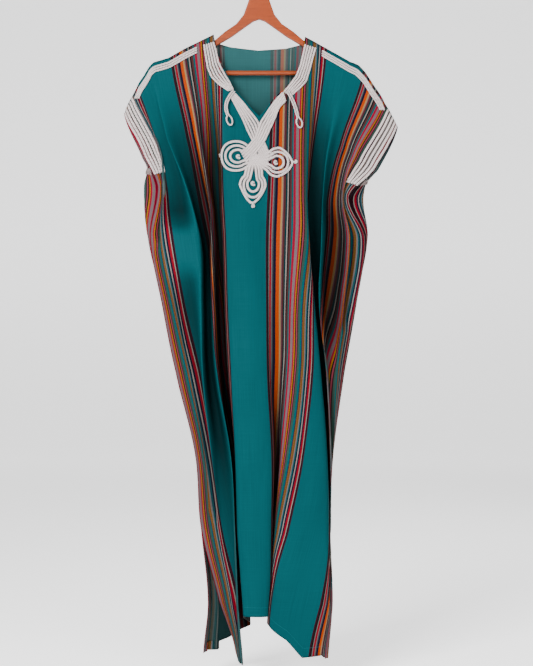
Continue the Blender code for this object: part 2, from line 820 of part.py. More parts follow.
def tie_route(sheet, tie):
    """A doubled cord's points: down one strand, round the loop and up the other."""
    spine = [Vector((x, z)) for x, z in tie.points]
    half = TIE_RADIUS + TIE_GAP / 2
    down = []
    for index, point in enumerate(spine):
        before = spine[max(index - 1, 0)]
        after = spine[min(index + 1, len(spine) - 1)]
        run = (after - before).normalized()
        down.append((point, Vector((-run.y, run.x))))
    end, side = down[-1]
    run = Vector((side.y, -side.x))
    centre = end + run * (tie.loop_radius * TIE_LOOP_LONG)
    loop = []
    for step in range(1, TIE_LOOP_STEPS):
        turn = math.radians(TIE_LOOP_TURN * (2 * step / TIE_LOOP_STEPS - 1))
        swing = side * (math.sin(turn) * tie.loop_radius * TIE_LOOP_WIDE)
        loop.append(centre + run * (math.cos(turn) * tie.loop_radius) * TIE_LOOP_LONG + swing)
    left = [point - normal * half for point, normal in down]
    right = [point + normal * half for point, normal in down]
    flat = left + loop + right[::-1]
    high = max(point.y for point in flat)
    low = min(point.y for point in flat)
    root = sheet.at(spine[0].x, high).y - TIE_STAND + TIE_SEAT
    hung = min(sheet.at(point.x, point.y).y for point in flat) - TIE_STAND
    route = []
    for point in flat:
        share = min((high - point.y) / (high - low) * 2, 1.0)
        route.append(Vector((point.x, blend(root, hung, share), point.y)))
    return smooth_route(route, TIE_SPACING)


def cloth_top(across):
    """The lower of the two shoulder lines, left and right, this far from the middle."""
    found = []
    for side in (-1, 1):
        rows = sorted((side * (row.across - HANGER_X), row.height) for row in SHOULDER_LINE)
        for first, second in zip(rows, rows[1:]):
            if first[0] <= across <= second[0]:
                share = (across - first[0]) / (second[0] - first[0])
                found.append(blend(first[1], second[1], share))
    return min(found)


def hanger_outline():
    """The wooden hanger's outline in its own plane, as (across, height)."""
    top = [(-9, WOOD_TOP), (9, WOOD_TOP), (17, -72), (24, -95), (34, -123), (50, -143), (75, -160)]
    top += [(98, cloth_top(98) - 2 * UNDER_CLOTH)]
    top += [(across, cloth_top(across) - UNDER_CLOTH) for across in (112, 130, 160, 190, 207)]
    end = cloth_top(HANGER_HALF_SPAN) - UNDER_CLOTH
    low = [(HANGER_HALF_SPAN, end - 8), (HANGER_HALF_SPAN, -254), (208, -259)]
    low += [(BAR_HALF_LENGTH + 0.3, -259), (BAR_HALF_LENGTH + 0.3, -243), (180, -236)]
    low += [(140, -217), (98, -193), (60, -171), (28, -148), (12, -137), (0, -133)]
    right = top[1:] + low
    left = [(-x, z) for x, z in reversed(low[:-1])] + [(-x, z) for x, z in reversed(top[1:])]
    return right + left


def hanger(finish):
    """The wooden hanger's body, cut from a board with its edges rounded."""
    bm = bmesh.new()
    half = HANGER_THICK / 2
    ring = [bm.verts.new(Vector((HANGER_X + x, -half, z)) * MM) for x, z in hanger_outline()]
    face = bm.faces.new(ring)
    grown = bmesh.ops.extrude_face_region(bm, geom=[face])
    moved = [item for item in grown["geom"] if isinstance(item, bmesh.types.BMVert)]
    bmesh.ops.translate(bm, verts=moved, vec=(0, HANGER_THICK * MM, 0))
    rims = [edge for edge in bm.edges if abs(edge.verts[0].co.y - edge.verts[1].co.y) < MM * 0.1]
    bmesh.ops.bevel(bm, geom=rims, offset=2.5 * MM, segments=2, affect="EDGES", profile=0.5, material=-1)
    return finish_mesh(bm, "hanger_body", finish, 50.0)


def bar(finish):
    """The trouser bar, held between the hanger's ends."""
    bm = bmesh.new()
    bmesh.ops.create_cone(
        bm, cap_ends=True, segments=16, radius1=BAR_RADIUS * MM, radius2=BAR_RADIUS * MM,
        depth=2 * BAR_HALF_LENGTH * MM,
    )
    for vert in bm.verts:
        along_bar = vert.co.z
        vert.co = Vector((HANGER_X * MM + along_bar, vert.co.y, BAR_Z * MM - vert.co.x))
    return finish_mesh(bm, "hanger_bar", finish)


def hook(finish):
    """The wire hook, from the wood up and round over the rod."""
    centre = Vector((0.0, 0.0, HOOK_WIRE - HOOK_RADIUS))
    points = [Vector((HANGER_X, 0, WOOD_TOP + 0.3)), Vector((HANGER_X, 0, WOOD_TOP + 9))]
    for step in range(13):
        turn = math.radians(-50 + 250 * step / 12)
        points.append(centre + Vector((math.cos(turn), 0, math.sin(turn))) * HOOK_RADIUS)
    return tube("hanger_hook", smooth_route(points, 8.0), HOOK_WIRE, finish)


def hem_turn(sheet, name, start, end, cells, finish):
    """The cloth turned up inside a hem, between two places across the cloth."""
    outer = []
    inner = []
    for place in spread(start, end, cells):
        bottom = sheet.at(place, -9999).z
        line_out = []
        line_in = []
        for rise in (0.5, 11.0, HEM_WIDTH):
            base = sheet.at(place, bottom + rise)
            normal = sheet.out(place, bottom + rise + 2.0)
            line_out.append(base - normal * (WALL + 0.6))
            line_in.append(base - normal * (2 * WALL + 0.6))
        outer.append(line_out)
        inner.append(line_in)
    return wall(name, outer, inner, finish)


def cuff_braid(sheet, name, edge, inside, finish):
    """Rows of cord along a cuff, from the shoulder to the underarm, on the sheet's own rows."""
    normals = grid_normals(sheet.points, sheet.panel.facing)
    heights = rib_heights(CUFF_ROWS)
    gap = FRONT_CUFF_GAP if sheet.panel.facing < 0 else BACK_CUFF_GAP
    outer = []
    inner = []
    last = CUFF_FIRST
    while sheet.levels[last] < CUFF_END_LEVEL:
        last += 1
    for row in range(CUFF_FIRST, last):
        line_out = []
        line_in = []
        for step, rise in enumerate(heights):
            place = edge + inside * (CUFF_INSET + CUFF_ROWS * CUFF_ROW * step / (len(heights) - 1))
            column = 0
            while sheet.columns[column + 1] < place:
                column += 1
            width = sheet.columns[column + 1] - sheet.columns[column]
            share = (place - sheet.columns[column]) / width
            base = sheet.points[column][row].lerp(sheet.points[column + 1][row], share)
            normal = normals[column][row].lerp(normals[column + 1][row], share).normalized()
            line_out.append(base + normal * (gap + rise))
            line_in.append(base + normal * gap)
        outer.append(line_out)
        inner.append(line_in)
    return wall(name, outer, inner, finish)


def shoulder_route(start, end):
    """Lines across the braid that runs down the shoulder seam."""
    route = []
    for place in spread(start, end, SHOULDER_CELLS):
        top = shoulder_point(place)[1]
        near = (place, top - SHOULDER_DROP)
        far = (place, top - SHOULDER_DROP - SHOULDER_ROWS * BRAID_ROW)
        route.append((near, far))
    return route


def build():
    """Model every piece of the dress and its hanger."""
    for thing in list(bpy.data.objects):
        bpy.data.objects.remove(thing, do_unlink=True)
    cloth = material("striped_cloth", (0.0, 0.22, 0.23), 0.6)
    cord = material("white_braid", (0.78, 0.71, 0.71), 0.55)
    wood = material("varnished_wood", (0.52, 0.2, 0.05), 0.35)
    steel = material("steel_wire", (0.7, 0.7, 0.72), 0.25, 1.0)

    columns = spread(CLOTH_LEFT, -112, 18) + [-98] + spread(-96, -8, 7) + spread(2, 101, 8)
    columns += [103] + spread(117, CLOTH_RIGHT, 18)
    front = Sheet(FRONT, columns, FRONT_ROWS)
    back_columns = spread(CLOTH_LEFT, -118, 11) + [-98] + spread(-96, 101, 8) + [103]
    back_columns += spread(123, CLOTH_RIGHT, 11)
    back = Sheet(BACK, back_columns, BACK_ROWS)
    panel_wall(front, "front_panel", cloth)
    panel_wall(back, "back_panel", cloth)

    hanger(wood)
    bar(wood)
    hook(steel)
    for name, edge, outer_edge in (
        ("collar_left", FRONT_NECK[1:7], COLLAR_LEFT),
        ("collar_right", FRONT_NECK[17:11:-1], COLLAR_RIGHT),
        ("slit_braid_left", SLIT_LEFT_INNER, SLIT_LEFT_OUTER),
        ("slit_braid_right", SLIT_RIGHT_INNER, SLIT_RIGHT_OUTER),
    ):
        near = resample([(row.cloth, row.height - COLLAR_DROP) for row in edge], COLLAR_CELLS)
        far = resample([(row.cloth, row.height) for row in outer_edge], COLLAR_CELLS)
        braid(front, name, list(zip(near, far)), COLLAR_ROWS, cord)
    for side, edge, inside in (("left", CLOTH_LEFT, 1), ("right", CLOTH_RIGHT, -1)):
        for sheet, half in ((front, "front"), (back, "back")):
            cuff_braid(sheet, f"cuff_braid_{side}_{half}", edge, inside, cord)
    braid(front, "shoulder_braid_left", shoulder_route(-136, -318), SHOULDER_ROWS, cord)
    braid(front, "shoulder_braid_right", shoulder_route(142, 331), SHOULDER_ROWS, cord)
    for row in PETALS:
        petal(front, row.name, row.centre, row.tip, row.width, MOTIF_TURNS, cord)
        bead(front, row.name.replace("loop", "bead"), row.end, BEAD_RADIUS, cord)
    for tie in TIES:
        tube(tie.name, tie_route(front, tie), TIE_RADIUS, cord)
    for row in FRONT_HEM_TURNS:
        hem_turn(front, row.name, row.start, row.end, 6, cloth)
    for row in BACK_HEM_TURNS:
        hem_turn(back, row.name, row.start, row.end, 6, cloth)


if __name__ == "__main__":
    build()
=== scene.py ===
"""The looks of a striped house dress on a wooden hanger.

Lengths are in millimetres until a mesh is made. A cloth point is named by its place
across the cloth (from the hanger's middle line, to the right) and its level (0 on
the shoulder line, LAST_LEVEL at the hem). The front of the dress faces -Y.
"""

from __future__ import annotations

import logging
import math
from collections.abc import Callable, Sequence
from dataclasses import dataclass, field
from enum import Enum
from typing import Any, NamedTuple

import bmesh
import bpy
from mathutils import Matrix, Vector

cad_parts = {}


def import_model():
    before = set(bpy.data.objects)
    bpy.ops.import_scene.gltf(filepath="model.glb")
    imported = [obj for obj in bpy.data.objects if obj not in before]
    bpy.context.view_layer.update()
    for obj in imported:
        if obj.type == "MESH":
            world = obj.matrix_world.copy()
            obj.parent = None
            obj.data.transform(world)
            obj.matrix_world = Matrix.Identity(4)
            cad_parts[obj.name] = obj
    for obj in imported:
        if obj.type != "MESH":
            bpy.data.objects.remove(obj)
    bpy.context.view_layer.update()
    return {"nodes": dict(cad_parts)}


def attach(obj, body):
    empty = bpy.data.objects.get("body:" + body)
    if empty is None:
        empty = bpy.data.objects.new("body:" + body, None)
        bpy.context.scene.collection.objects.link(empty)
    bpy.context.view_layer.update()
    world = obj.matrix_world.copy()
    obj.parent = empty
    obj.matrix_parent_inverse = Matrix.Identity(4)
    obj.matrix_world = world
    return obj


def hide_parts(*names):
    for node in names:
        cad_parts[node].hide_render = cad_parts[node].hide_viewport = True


log = logging.getLogger("dress")

MM = 0.001
BODY = "root"


class Side(Enum):
    """Which way a panel faces, as the sign of its outward Y."""

    FRONT = -1
    BACK = 1


class Shoulder(NamedTuple):
    """A corner of the shoulder line."""

    cloth: float
    across: float
    height: float


class Edge(NamedTuple):
    """A point of a cut edge, on the cloth."""

    cloth: float
    height: float


class Crest(NamedTuple):
    """Where a fold's crest lies on the cloth and across the body, and its share forward."""

    cloth: float
    across: float
    forward: float | None = None


class Section(NamedTuple):
    """A level of a panel: how far crests and valleys stand along Y, and its crests."""

    height: float | None
    crest: float
    valley: float
    crests: tuple[tuple[float, ...], ...]


class Crease(NamedTuple):
    """A soft trough or ridge in a panel, from one cloth point to another."""

    start: tuple[float, float]
    end: tuple[float, float]
    width: float
    depth: float


SHOULDER_LINE = (
    Shoulder(-367, -292, -340),
    Shoulder(-345, -284, -316),
    Shoulder(-300, -259, -272),
    Shoulder(-262, -240, -238),
    Shoulder(-240, -228, -225),
    Shoulder(-205, -200, -216),
    Shoulder(-98, -98, -165),
    Shoulder(103, 103, -170),
    Shoulder(205, 198, -223),
    Shoulder(236, 221, -232),
    Shoulder(262, 236, -248),
    Shoulder(300, 257, -283),
    Shoulder(350, 287, -334),
    Shoulder(380, 304, -368),
)

FRONT_NECK = (
    Edge(-98, -165), Edge(-96, -180), Edge(-90, -198), Edge(-83, -224), Edge(-69, -248),
    Edge(-57, -268), Edge(-50, -286), Edge(-30, -308), Edge(-10, -333), Edge(2, -346),
    Edge(14, -333), Edge(38, -303), Edge(56, -290), Edge(70, -273), Edge(84, -256),
    Edge(93, -230), Edge(98, -202), Edge(101, -185), Edge(103, -170),
)
BACK_NECK = (
    Edge(-98, -165), Edge(-96, -178), Edge(-86, -184), Edge(-60, -191), Edge(0, -198),
    Edge(60, -194), Edge(90, -187), Edge(101, -182), Edge(103, -170),
)
FRONT_HEM = (
    Edge(-367, -1508), Edge(-345, -1520), Edge(-300, -1521), Edge(-230, -1470), Edge(-75, -1417),
    Edge(27, -1418), Edge(90, -1428), Edge(147, -1436), Edge(200, -1466), Edge(240, -1504),
    Edge(290, -1500), Edge(330, -1513), Edge(380, -1522),
)
BACK_HEM = (
    Edge(-367, -1512), Edge(-300, -1508), Edge(-180, -1455), Edge(-40, -1432),
    Edge(60, -1434), Edge(180, -1462), Edge(300, -1500), Edge(380, -1521),
)

# The front's crests, left to right: side, sleeve, two ridges, the middle band's two
# edges, the pleat's edge, two ridges, sleeve, side
FRONT_CRESTS = (
    "side", "sleeve", "outer", "inner", "inner", "inner", "inner", "inner", "outer", "sleeve", "side",
)
FRONT_SECTIONS = (
    Section(None, -24, -8, ((-367, -247), (-318, -214), (-250, -198), (-165, -131), (-75, -78),
            (27, 25), (75, 69), (125, 114), (203, 155), (330, 211), (380, 255))),
    Section(-500, -36, -8, ((-367, -221), (-324, -208), (-243, -155), (-150, -108), (-75, -75),
            (27, 20), (72, 65), (118, 106), (215, 140), (332, 184), (380, 202))),
    Section(-610, -46, -5, ((-367, -235), (-330, -211), (-245, -127), (-155, -100), (-75, -69),
            (27, 16), (72, 62), (120, 109), (230, 136), (330, 198), (380, 233))),
    Section(-759, -55, -1, ((-367, -209), (-335, -185), (-262, -123), (-185, -96), (-75, -65),
            (27, 17), (75, 60), (152, 119), (250, 132), (335, 185), (380, 213))),
    Section(-901, -61, 2, ((-367, -180), (-335, -153), (-290, -119), (-205, -88), (-75, -58),
            (27, 19), (75, 56), (176, 133), (315, 147), (350, 172), (380, 188))),
    Section(-1079, -67, 4, ((-367, -138), (-338, -118), (-302, -100), (-240, -58), (-70, -48),
            (30, 30), (95, 51), (212, 145), (320, 156), (352, 161), (380, 164))),
    Section(-1240, -71, 5, ((-367, -125), (-340, -101), (-312, -82), (-272, -49), (-67, -43),
            (28, 28), (118, 38), (249, 150), (300, 156, 0.5), (345, 157, 0.2), (380, 157))),
    Section(-1400, -75, 6, ((-367, -86), (-345, -69), (-322, -56), (-300, -42), (-68, -36),
            (27, 26), (147, 31), (285, 152), (320, 160, 0.55), (352, 162, 0.2), (380, 161))),
    Section(-1520, -77, 6, ((-367, -50), (-345, -43), (-325, -38), (-304, -34), (-70, -31),
            (27, 21), (150, 23), (300, 138), (330, 149, 0.6), (356, 152, 0.25), (380, 151))),
)
BACK_CRESTS = ("side", "under", "outer", "inner", "inner", "inner", "outer", "under", "side")
BACK_SECTIONS = (
    Section(None, 22, 8, ((-367, -253), (-350, -240, 0.75), (-250, -196), (-150, -132), (-50, -46),
            (70, 64), (220, 172), (363, 252, 0.72), (380, 262))),
    Section(-500, 32, 8, ((-367, -221), (-333, -250, 0.35), (-255, -178), (-150, -118), (-52, -47),
            (74, 64), (230, 152), (346, 230, 0.35), (380, 202))),
    Section(-610, 40, 11, ((-367, -235), (-352, -241), (-270, -178, 0.8), (-160, -112), (-54, -48),
            (78, 66), (240, 158, 0.75), (364, 239), (380, 233))),
    Section(-759, 48, 15, ((-367, -209), (-350, -203, 0.35), (-280, -165, 0.75), (-170, -102),
            (-56, -48), (80, 66), (250, 150, 0.75), (363, 207, 0.35), (380, 213))),
    Section(-901, 54, 18, ((-367, -180), (-350, -174), (-285, -146, 0.7), (-178, -92, 0.95),
            (-58, -46), (82, 66), (260, 138, 0.75), (363, 182), (380, 188))),
    Section(-1079, 60, 20, ((-367, -138), (-350, -132), (-290, -118, 0.7), (-184, -78, 0.95),
            (-60, -42), (84, 68), (268, 130, 0.75), (363, 158), (380, 164))),
    Section(-1240, 64, 22, ((-367, -125), (-350, -119), (-295, -108, 0.7), (-190, -70, 0.9),
            (-60, -36), (86, 72), (276, 126, 0.8), (363, 151), (380, 157))),
    Section(-1400, 68, 24, ((-367, -110), (-350, -104), (-300, -94, 0.7), (-194, -60, 0.9), (-60, -28),
            (88, 78), (282, 128, 0.8), (363, 155), (380, 161))),
    Section(-1520, 70, 24, ((-367, -120), (-350, -114), (-300, -90, 0.7), (-196, -56, 0.9), (-58, -24),
            (90, 80), (288, 126, 0.8), (363, 145), (380, 151))),
)
# How far forward each kind of crest stands, as a share of its section's crest
CREST_FORWARD = {"side": 0.0, "under": 0.28, "sleeve": 0.55, "outer": 0.85, "inner": 1.0}
# The bands that bow forward instead of folding back, by the crest on their left
CROWNED = {Side.FRONT: (4, 6), Side.BACK: (4,)}
UNFOLDED = {"side", "under"}
# The share of spare cloth that lets a fold fall all the way back
FULL_FOLD = 0.06
# The fold depth at which the cloth's colour is painted in full shade, and how dark that painted shade is
DEEP_FOLD = 26.0
FOLD_SHADE = 0.8
# The crest on the pleat's left, and the levels that the pleat opens over
PLEAT = 5
PLEAT_OPENS = (2.6, 5.6)
BOW_SHARE = 0.375
FOLD_LEAST = 6.0
FOLD_LEAST_SHARE = 0.4

# The cloth
CLOTH_LEFT = -367.0
CLOTH_RIGHT = 380.0
LAST_LEVEL = 9
ROW_SPREAD = 1.3
SEAM_GAP = 0.4
SHOULDER_DEPTH = 10.0
UNDERARM = (-497.0, -520.0)
SHOULDER_SHARE = 0.6
HEM_SHARE = 0.58
FOLD_BOTTOM = 28.0
CROWN_DEPTH = 9.0
SIDE_ROOM = 6.0
SIDE_REACH = 60.0
SIDE_DEPTH = 18.0
CUFF_STAND = 16.0
CREASE_REACH = 3
LEVEL_STEP = 0.001
TINY = 0.01
CLOTH_THICK = 1.2
HEM_TURN_ROWS = 6
HEM_TURN_CELL = 3.0
HEM_TURN_INSET = 0.5
HEM_TURN_IN = 1.8
HEM_STITCH = 20.0
STITCH_WIDTH = 0.5
STITCH_PITCH = 3.4
# How far apart the cloth is felt, to find which way it faces
FEEL = 2.0
PATTERN = "pattern"
# The second pattern layer holds each cloth point's fold depth share, for the painted shade, and its height
# above the hem
EDGE_PATTERN = "edge"

# The cord
CORD_SIDES = 8
CORD_STEP = 1.7
CORD_PITCH = 7.0
CORD_END = 0.7
PLY_GROOVE = 0.1
CORD_FLAT = 0.72
FINE_STEPS = 12
WELD = 0.01

# The braid
BAND_CELLS = 18
BAND_ROWS = 5
CUFF_ROWS = 5
CUFF_PITCH = 7.6
CUFF_INSET = 2.0
CUFF_LEVELS = (0.02, 1.6)
CUFF_CELLS = 30
SHOULDER_ROWS = 3
SHOULDER_PITCH = 4.9
SHOULDER_DROP = 10.0
SHOULDER_CELLS = 24

# The chest motif
LOOP_TURNS = (1.0, 0.72, 0.44)
LOOP_SWEEP = 138.0
LOOP_POINTS = 22
LOOP_LIFT = 0.9
LOOP_POINTED = 1.6
LOOP_SHIFT = 1.6
TAIL_GAP = 6.0
TAIL_NEAR = 0.8
TAIL_PAST = 20.0
TAIL_SPREAD = (0.9, -1.0)
EYE_TURNS = 0.9
EYE_POINTS = 14
EYE_RADII = (1.0, 4.4)
BEAD_TURNS = 1.3
BEAD_POINTS = 16
BEAD_RADII = (0.8, 3.6)
BEAD_CORD = 2.0

# The ties
TIE_RADIUS = 1.9
TIE_GAP = 0.5
TIE_STAND = 5.0
TIE_SEAT = 0.5
TIE_SETTLE = 2.0
TIE_LOOP_STEPS = 12
TIE_LOOP_TURN = 150.0
TIE_LOOP_LONG = 0.82
TIE_LOOP_WIDE = 0.45


def blend(low: float, high: float, share: float) -> float:
    """The value a share of the way from low to high."""
    return low + (high - low) * share


def clamp(value: float, low: float = 0.0, high: float = 1.0) -> float:
    """The value, held between low and high."""
    return min(max(value, low), high)


def spread(start: float, end: float, cells: int) -> list[float]:
    """Evenly spaced values from start to end, both included."""
    return [blend(start, end, step / cells) for step in range(cells + 1)]


def read(rows: Sequence[tuple[float, ...]], place: float) -> list[float]:
    """A table's numbers at a place across the cloth.

    Args:
        rows: The table, left to right, with each row's place first.
        place: The place across the cloth.

    Returns:
        The other numbers of a row, straight between the rows.
    """
    place = clamp(place, rows[0][0], rows[-1][0])
    for first, second in zip(rows, rows[1:]):
        if place <= second[0]:
            share = (place - first[0]) / (second[0] - first[0])
            return [blend(low, high, share) for low, high in zip(first[1:], second[1:])]
    return list(rows[-1][1:])


def along(rows: Sequence[Edge], place: float) -> float:
    """The height of an edge at a place across the cloth."""
    return read(rows, place)[0]


def shoulder_point(place: float) -> list[float]:
    """Where the shoulder line runs, as (across, height), at a place across the cloth."""
    return read(SHOULDER_LINE, place)


def smooth(values: Sequence[float], place: float) -> float:
    """A smooth curve through evenly spaced values, read at a place between them."""
    last = len(values) - 1
    index = min(max(int(place), 0), last - 1)
    share = place - index
    start = values[index]
    end = values[index + 1]
    slope_start = (end - values[max(index - 1, 0)]) / 2
    slope_end = (values[min(index + 2, last)] - start) / 2
    square = share * share
    cube = square * share
    return (
        (2 * cube - 3 * square + 1) * start
        + (cube - 2 * square + share) * slope_start
        + (3 * square - 2 * cube) * end
        + (cube - square) * slope_end
    )


def round_curve(points: Sequence[Vector], index: int, share: float) -> Vector:
    """A point between two of a row of points, on a centripetal curve through them.

    Args:
        points: The points that the curve passes.
        index: The point that the stretch starts at.
        share: How far along the stretch, from 0 to 1.

    Returns:
        The point on the curve.
    """
    p1 = points[index]
    p2 = points[index + 1]
    p0 = points[index - 1] if index else p1 + (p1 - p2)
    p3 = points[index + 2] if index + 2 < len(points) else p2 + (p2 - p1)
    t1 = max((p1 - p0).length, TINY) ** 0.5
    t2 = t1 + max((p2 - p1).length, TINY) ** 0.5
    t3 = t2 + max((p3 - p2).length, TINY) ** 0.5
    t = blend(t1, t2, share)
    a1 = p0.lerp(p1, t / t1)
    a2 = p1.lerp(p2, (t - t1) / (t2 - t1))
    a3 = p2.lerp(p3, (t - t2) / (t3 - t2))
    b1 = a1.lerp(a2, t / t2)
    b2 = a2.lerp(a3, (t - t1) / (t3 - t1))
    return b1.lerp(b2, (t - t1) / (t2 - t1))


Knot = tuple[float, Vector]


class Spot(NamedTuple):
    """A point of a piece in millimetres, and its two pattern places in metres."""

    point: Vector
    pattern: tuple[float, float]
    edge: tuple[float, float] = (0.0, 0.0)


def crown(first: Knot, second: Knot, facing: int) -> list[Knot]:
    """The middle of a band that bows forward between two crests."""
    cloth = second[0] - first[0]
    chord = (second[1] - first[1]).length
    bow = min(math.sqrt(BOW_SHARE * chord * max(cloth - chord, 0.0)), CROWN_DEPTH)
    middle = first[1].lerp(second[1], 0.5) + Vector((0.0, facing * bow))
    return [(blend(first[0], second[0], 0.5), middle)]


def valley(first: Knot, second: Knot, reach: float) -> list[Knot]:
    """The bottom of the fold between two crests, deep enough to use up the cloth.

    Args:
        first: The left crest, its place on the cloth and its point.
        second: The right crest.
        reach: How far back the fold may go, along Y.

    Returns:
        The two ends of the fold's bottom.
    """
    cloth = second[0] - first[0]
    chord = (second[1] - first[1]).length
    middle = (first[1] + second[1]) / 2
    room = reach - middle.y
    needed = math.sqrt(max((cloth / 2) ** 2 - (chord / 2) ** 2, 1.0))
    depth = min(needed, abs(room)) * (1 if room > 0 else -1)
    width = min(max(cloth - 2 * abs(depth), 0.0), FOLD_BOTTOM)
    width = max(width, min(FOLD_LEAST, FOLD_LEAST_SHARE * chord))
    side = max(math.hypot(depth, (chord - width) / 2), 1.0)
    total = 2 * side + width
    left = Vector((middle.x - width / 2, middle.y + depth))
    right = Vector((middle.x + width / 2, middle.y + depth))
    return [(first[0] + cloth * side / total, left), (second[0] - cloth * side / total, right)]


@dataclass
class Form:
    """How one length of cloth hangs: any of its points in space.

    The folds are worked out from a row of crests at each level. Between two crests
    the cloth falls back far enough to use up the cloth that lies there.
    """

    side: Side
    kinds: tuple[str, ...]
    sections: tuple[Section, ...]
    neck: tuple[Edge, ...]
    hem: tuple[Edge, ...]
    creases: tuple[Crease, ...] = ()
    cache: dict[float, list[Knot]] = field(default_factory=dict)
    ridges: dict[float, list[Knot]] = field(default_factory=dict)

    @property
    def facing(self) -> int:
        """The sign of the outward Y."""
        return self.side.value

    def crest(self, index: int, level: float) -> Knot:
        """A crest's place on the cloth and point (across, depth) at a level."""
        kind = CREST_FORWARD[self.kinds[index]]
        rows = [Crest(*section.crests[index]) for section in self.sections]
        cloths = [rows[0].cloth] + [row.cloth for row in rows]
        acrosses = [shoulder_point(rows[0].cloth)[0]] + [row.across for row in rows]
        depths = [self.facing * SHOULDER_DEPTH]
        for section, row in zip(self.sections, rows):
            forward = kind if row.forward is None else row.forward
            depths.append(section.crest * forward + self.facing * SEAM_GAP)
        if kind == 0.0:
            depths[0] = self.facing * SEAM_GAP
            depths[1] = self.facing * CUFF_STAND
        depth = self.facing * max(self.facing * smooth(depths, level), SEAM_GAP)
        return smooth(cloths, level), Vector((smooth(acrosses, level), depth))

    def knots(self, level: float) -> list[Knot]:
        """The section at a level, as (place on the cloth, point) from left to right."""
        key = round(level, 3)
        if key in self.cache:
            return self.cache[key]
        reaches = [self.facing * SHOULDER_DEPTH] + [section.valley for section in self.sections]
        reach = smooth(reaches, level)
        crests = [self.crest(index, level) for index in range(len(self.kinds))]
        self.ridges[key] = crests
        found = [crests[0]]
        for index, (first, second) in enumerate(zip(crests, crests[1:])):
            ease = min(level, 1.0)
            if self.side is Side.FRONT and index == PLEAT:
                ease = clamp((level - PLEAT_OPENS[0]) / (PLEAT_OPENS[1] - PLEAT_OPENS[0]))
            ease *= clamp((1 - (second[1] - first[1]).length / (second[0] - first[0])) / FULL_FOLD)
            if set(self.kinds[index : index + 2]) == UNFOLDED:
                folded = []
            elif index in CROWNED[self.side]:
                folded = crown(first, second, self.facing)
            else:
                folded = valley(first, second, reach)
            for place, point in folded:
                self.keep_inside(point, crests[0][1].x, crests[-1][1].x)
                flat = first[1].lerp(second[1], (place - first[0]) / (second[0] - first[0]))
                found.append((place, flat.lerp(point, ease)))
            found.append(second)
        self.cache[key] = found
        return found

    def hollow(self, place: float, level: float) -> float:
        """How deep in a fold the cloth lies, from 0 on a crest to 1 in a deep valley: the share of painted
        shade in the cloth's colour there.
        """
        self.knots(level)
        crests = self.ridges[round(level, 3)]
        for first, second in zip(crests, crests[1:]):
            if place <= second[0]:
                share = clamp((place - first[0]) / (second[0] - first[0]))
                chord = blend(first[1].y, second[1].y, share)
                return clamp(self.facing * (chord - self.point(place, level).y) / DEEP_FOLD)
        return 0.0

    def keep_inside(self, point: Vector, left: float, right: float) -> None:
        """Hold a fold's bottom inside the side seams, and shallow where it is near one."""
        point.x = clamp(point.x, left + SIDE_ROOM, right - SIDE_ROOM)
        near = min(point.x - left, right - point.x) / SIDE_REACH
        if near < 1:
            limit = blend(SIDE_DEPTH, 0.0, near)
            point.y = self.facing * max(self.facing * point.y, limit)

    def height(self, place: float, level: float) -> float:
        """The height of a cloth point."""
        top = shoulder_point(place)[1]
        share = (place - CLOTH_LEFT) / (CLOTH_RIGHT - CLOTH_LEFT)
        underarm = blend(UNDERARM[0], UNDERARM[1], share)
        heights = [top, blend(top, underarm, SHOULDER_SHARE), underarm]
        heights += [section.height for section in self.sections[2:-1]]
        bottom = along(self.hem, place)
        heights.append(bottom)
        heights[-2] = blend(heights[-3], bottom, HEM_SHARE)
        index = min(int(level), LAST_LEVEL - 1)
        return blend(heights[index], heights[index + 1], level - index)

    def top_level(self, place: float) -> float:
        """The level of the panel's top edge: the shoulder line, or lower at the neck."""
        if not self.neck[0].cloth < place < self.neck[-1].cloth:
            return 0.0
        top = self.height(place, 0.0)
        edge = along(self.neck, place)
        return max((top - edge) / (top - self.height(place, 1.0)), 0.0)

    def point(self, place: float, level: float) -> Vector:
        """A cloth point in space."""
        knots = self.knots(level)
        index = 0
        while index < len(knots) - 2 and place > knots[index + 1][0]:
            index += 1
        first = knots[index]
        second = knots[index + 1]
        share = clamp((place - first[0]) / max(second[0] - first[0], TINY))
        section = round_curve([knot[1] for knot in knots], index, share)
        depth = section.y
        if index in (0, len(knots) - 2):
            depth = self.facing * max(self.facing * depth, SEAM_GAP)
        height = self.height(place, level)
        fall = shoulder_point(place)[1] - height
        if self.top_level(place) <= 0.0 and fall < SHOULDER_DEPTH:
            lift = 1 - fall / SHOULDER_DEPTH
            turned = SHOULDER_DEPTH * (1 - math.sqrt(max(1 - lift * lift, 0.0)))
            depth -= self.facing * min(turned, max(abs(depth) - SEAM_GAP, 0.0))
        rise = self.crease_at(place, height)
        return Vector((section.x, depth + self.facing * rise, height))

    def crease_at(self, place: float, height: float) -> float:
        """How far the small creases raise the cloth there."""
        rise = 0.0
        for crease in self.creases:
            run_x = crease.end[0] - crease.start[0]
            run_z = crease.end[1] - crease.start[1]
            length = math.hypot(run_x, run_z)
            from_x = place - crease.start[0]
            from_z = height - crease.start[1]
            walked = (from_x * run_x + from_z * run_z) / length
            off = abs(from_x * run_z - from_z * run_x) / length
            if off > CREASE_REACH * crease.width or not -crease.width < walked < length + crease.width:
                continue
            ends = math.sin(math.pi * clamp((walked + crease.width) / (length + 2 * crease.width)))
            rise += crease.depth * ends * math.exp(-((off / crease.width) ** 2))
        return rise

    def level_at(self, place: float, height: float) -> float:
        """The level of a height, at a place across the cloth."""
        above = self.height(place, 0.0)
        for level in range(LAST_LEVEL):
            below = self.height(place, level + 1.0 - LEVEL_STEP)
            if height >= below:
                return level + clamp((above - height) / max(above - below, TINY))
            above = below
        return LAST_LEVEL

    def spot(self, place: float, height: float) -> Vector:
        """The cloth's point at a place across it and a height."""
        return self.point(place, self.level_at(place, height))

    def out(self, place: float, height: float) -> Vector:
        """The outward direction of the cloth there."""
        across = self.spot(place + FEEL, height) - self.spot(place - FEEL, height)
        down = self.spot(place, height - FEEL) - self.spot(place, height + FEEL)
        normal = across.cross(down)
        if normal.y * self.facing < 0:
            normal.negate()
        return normal.normalized()


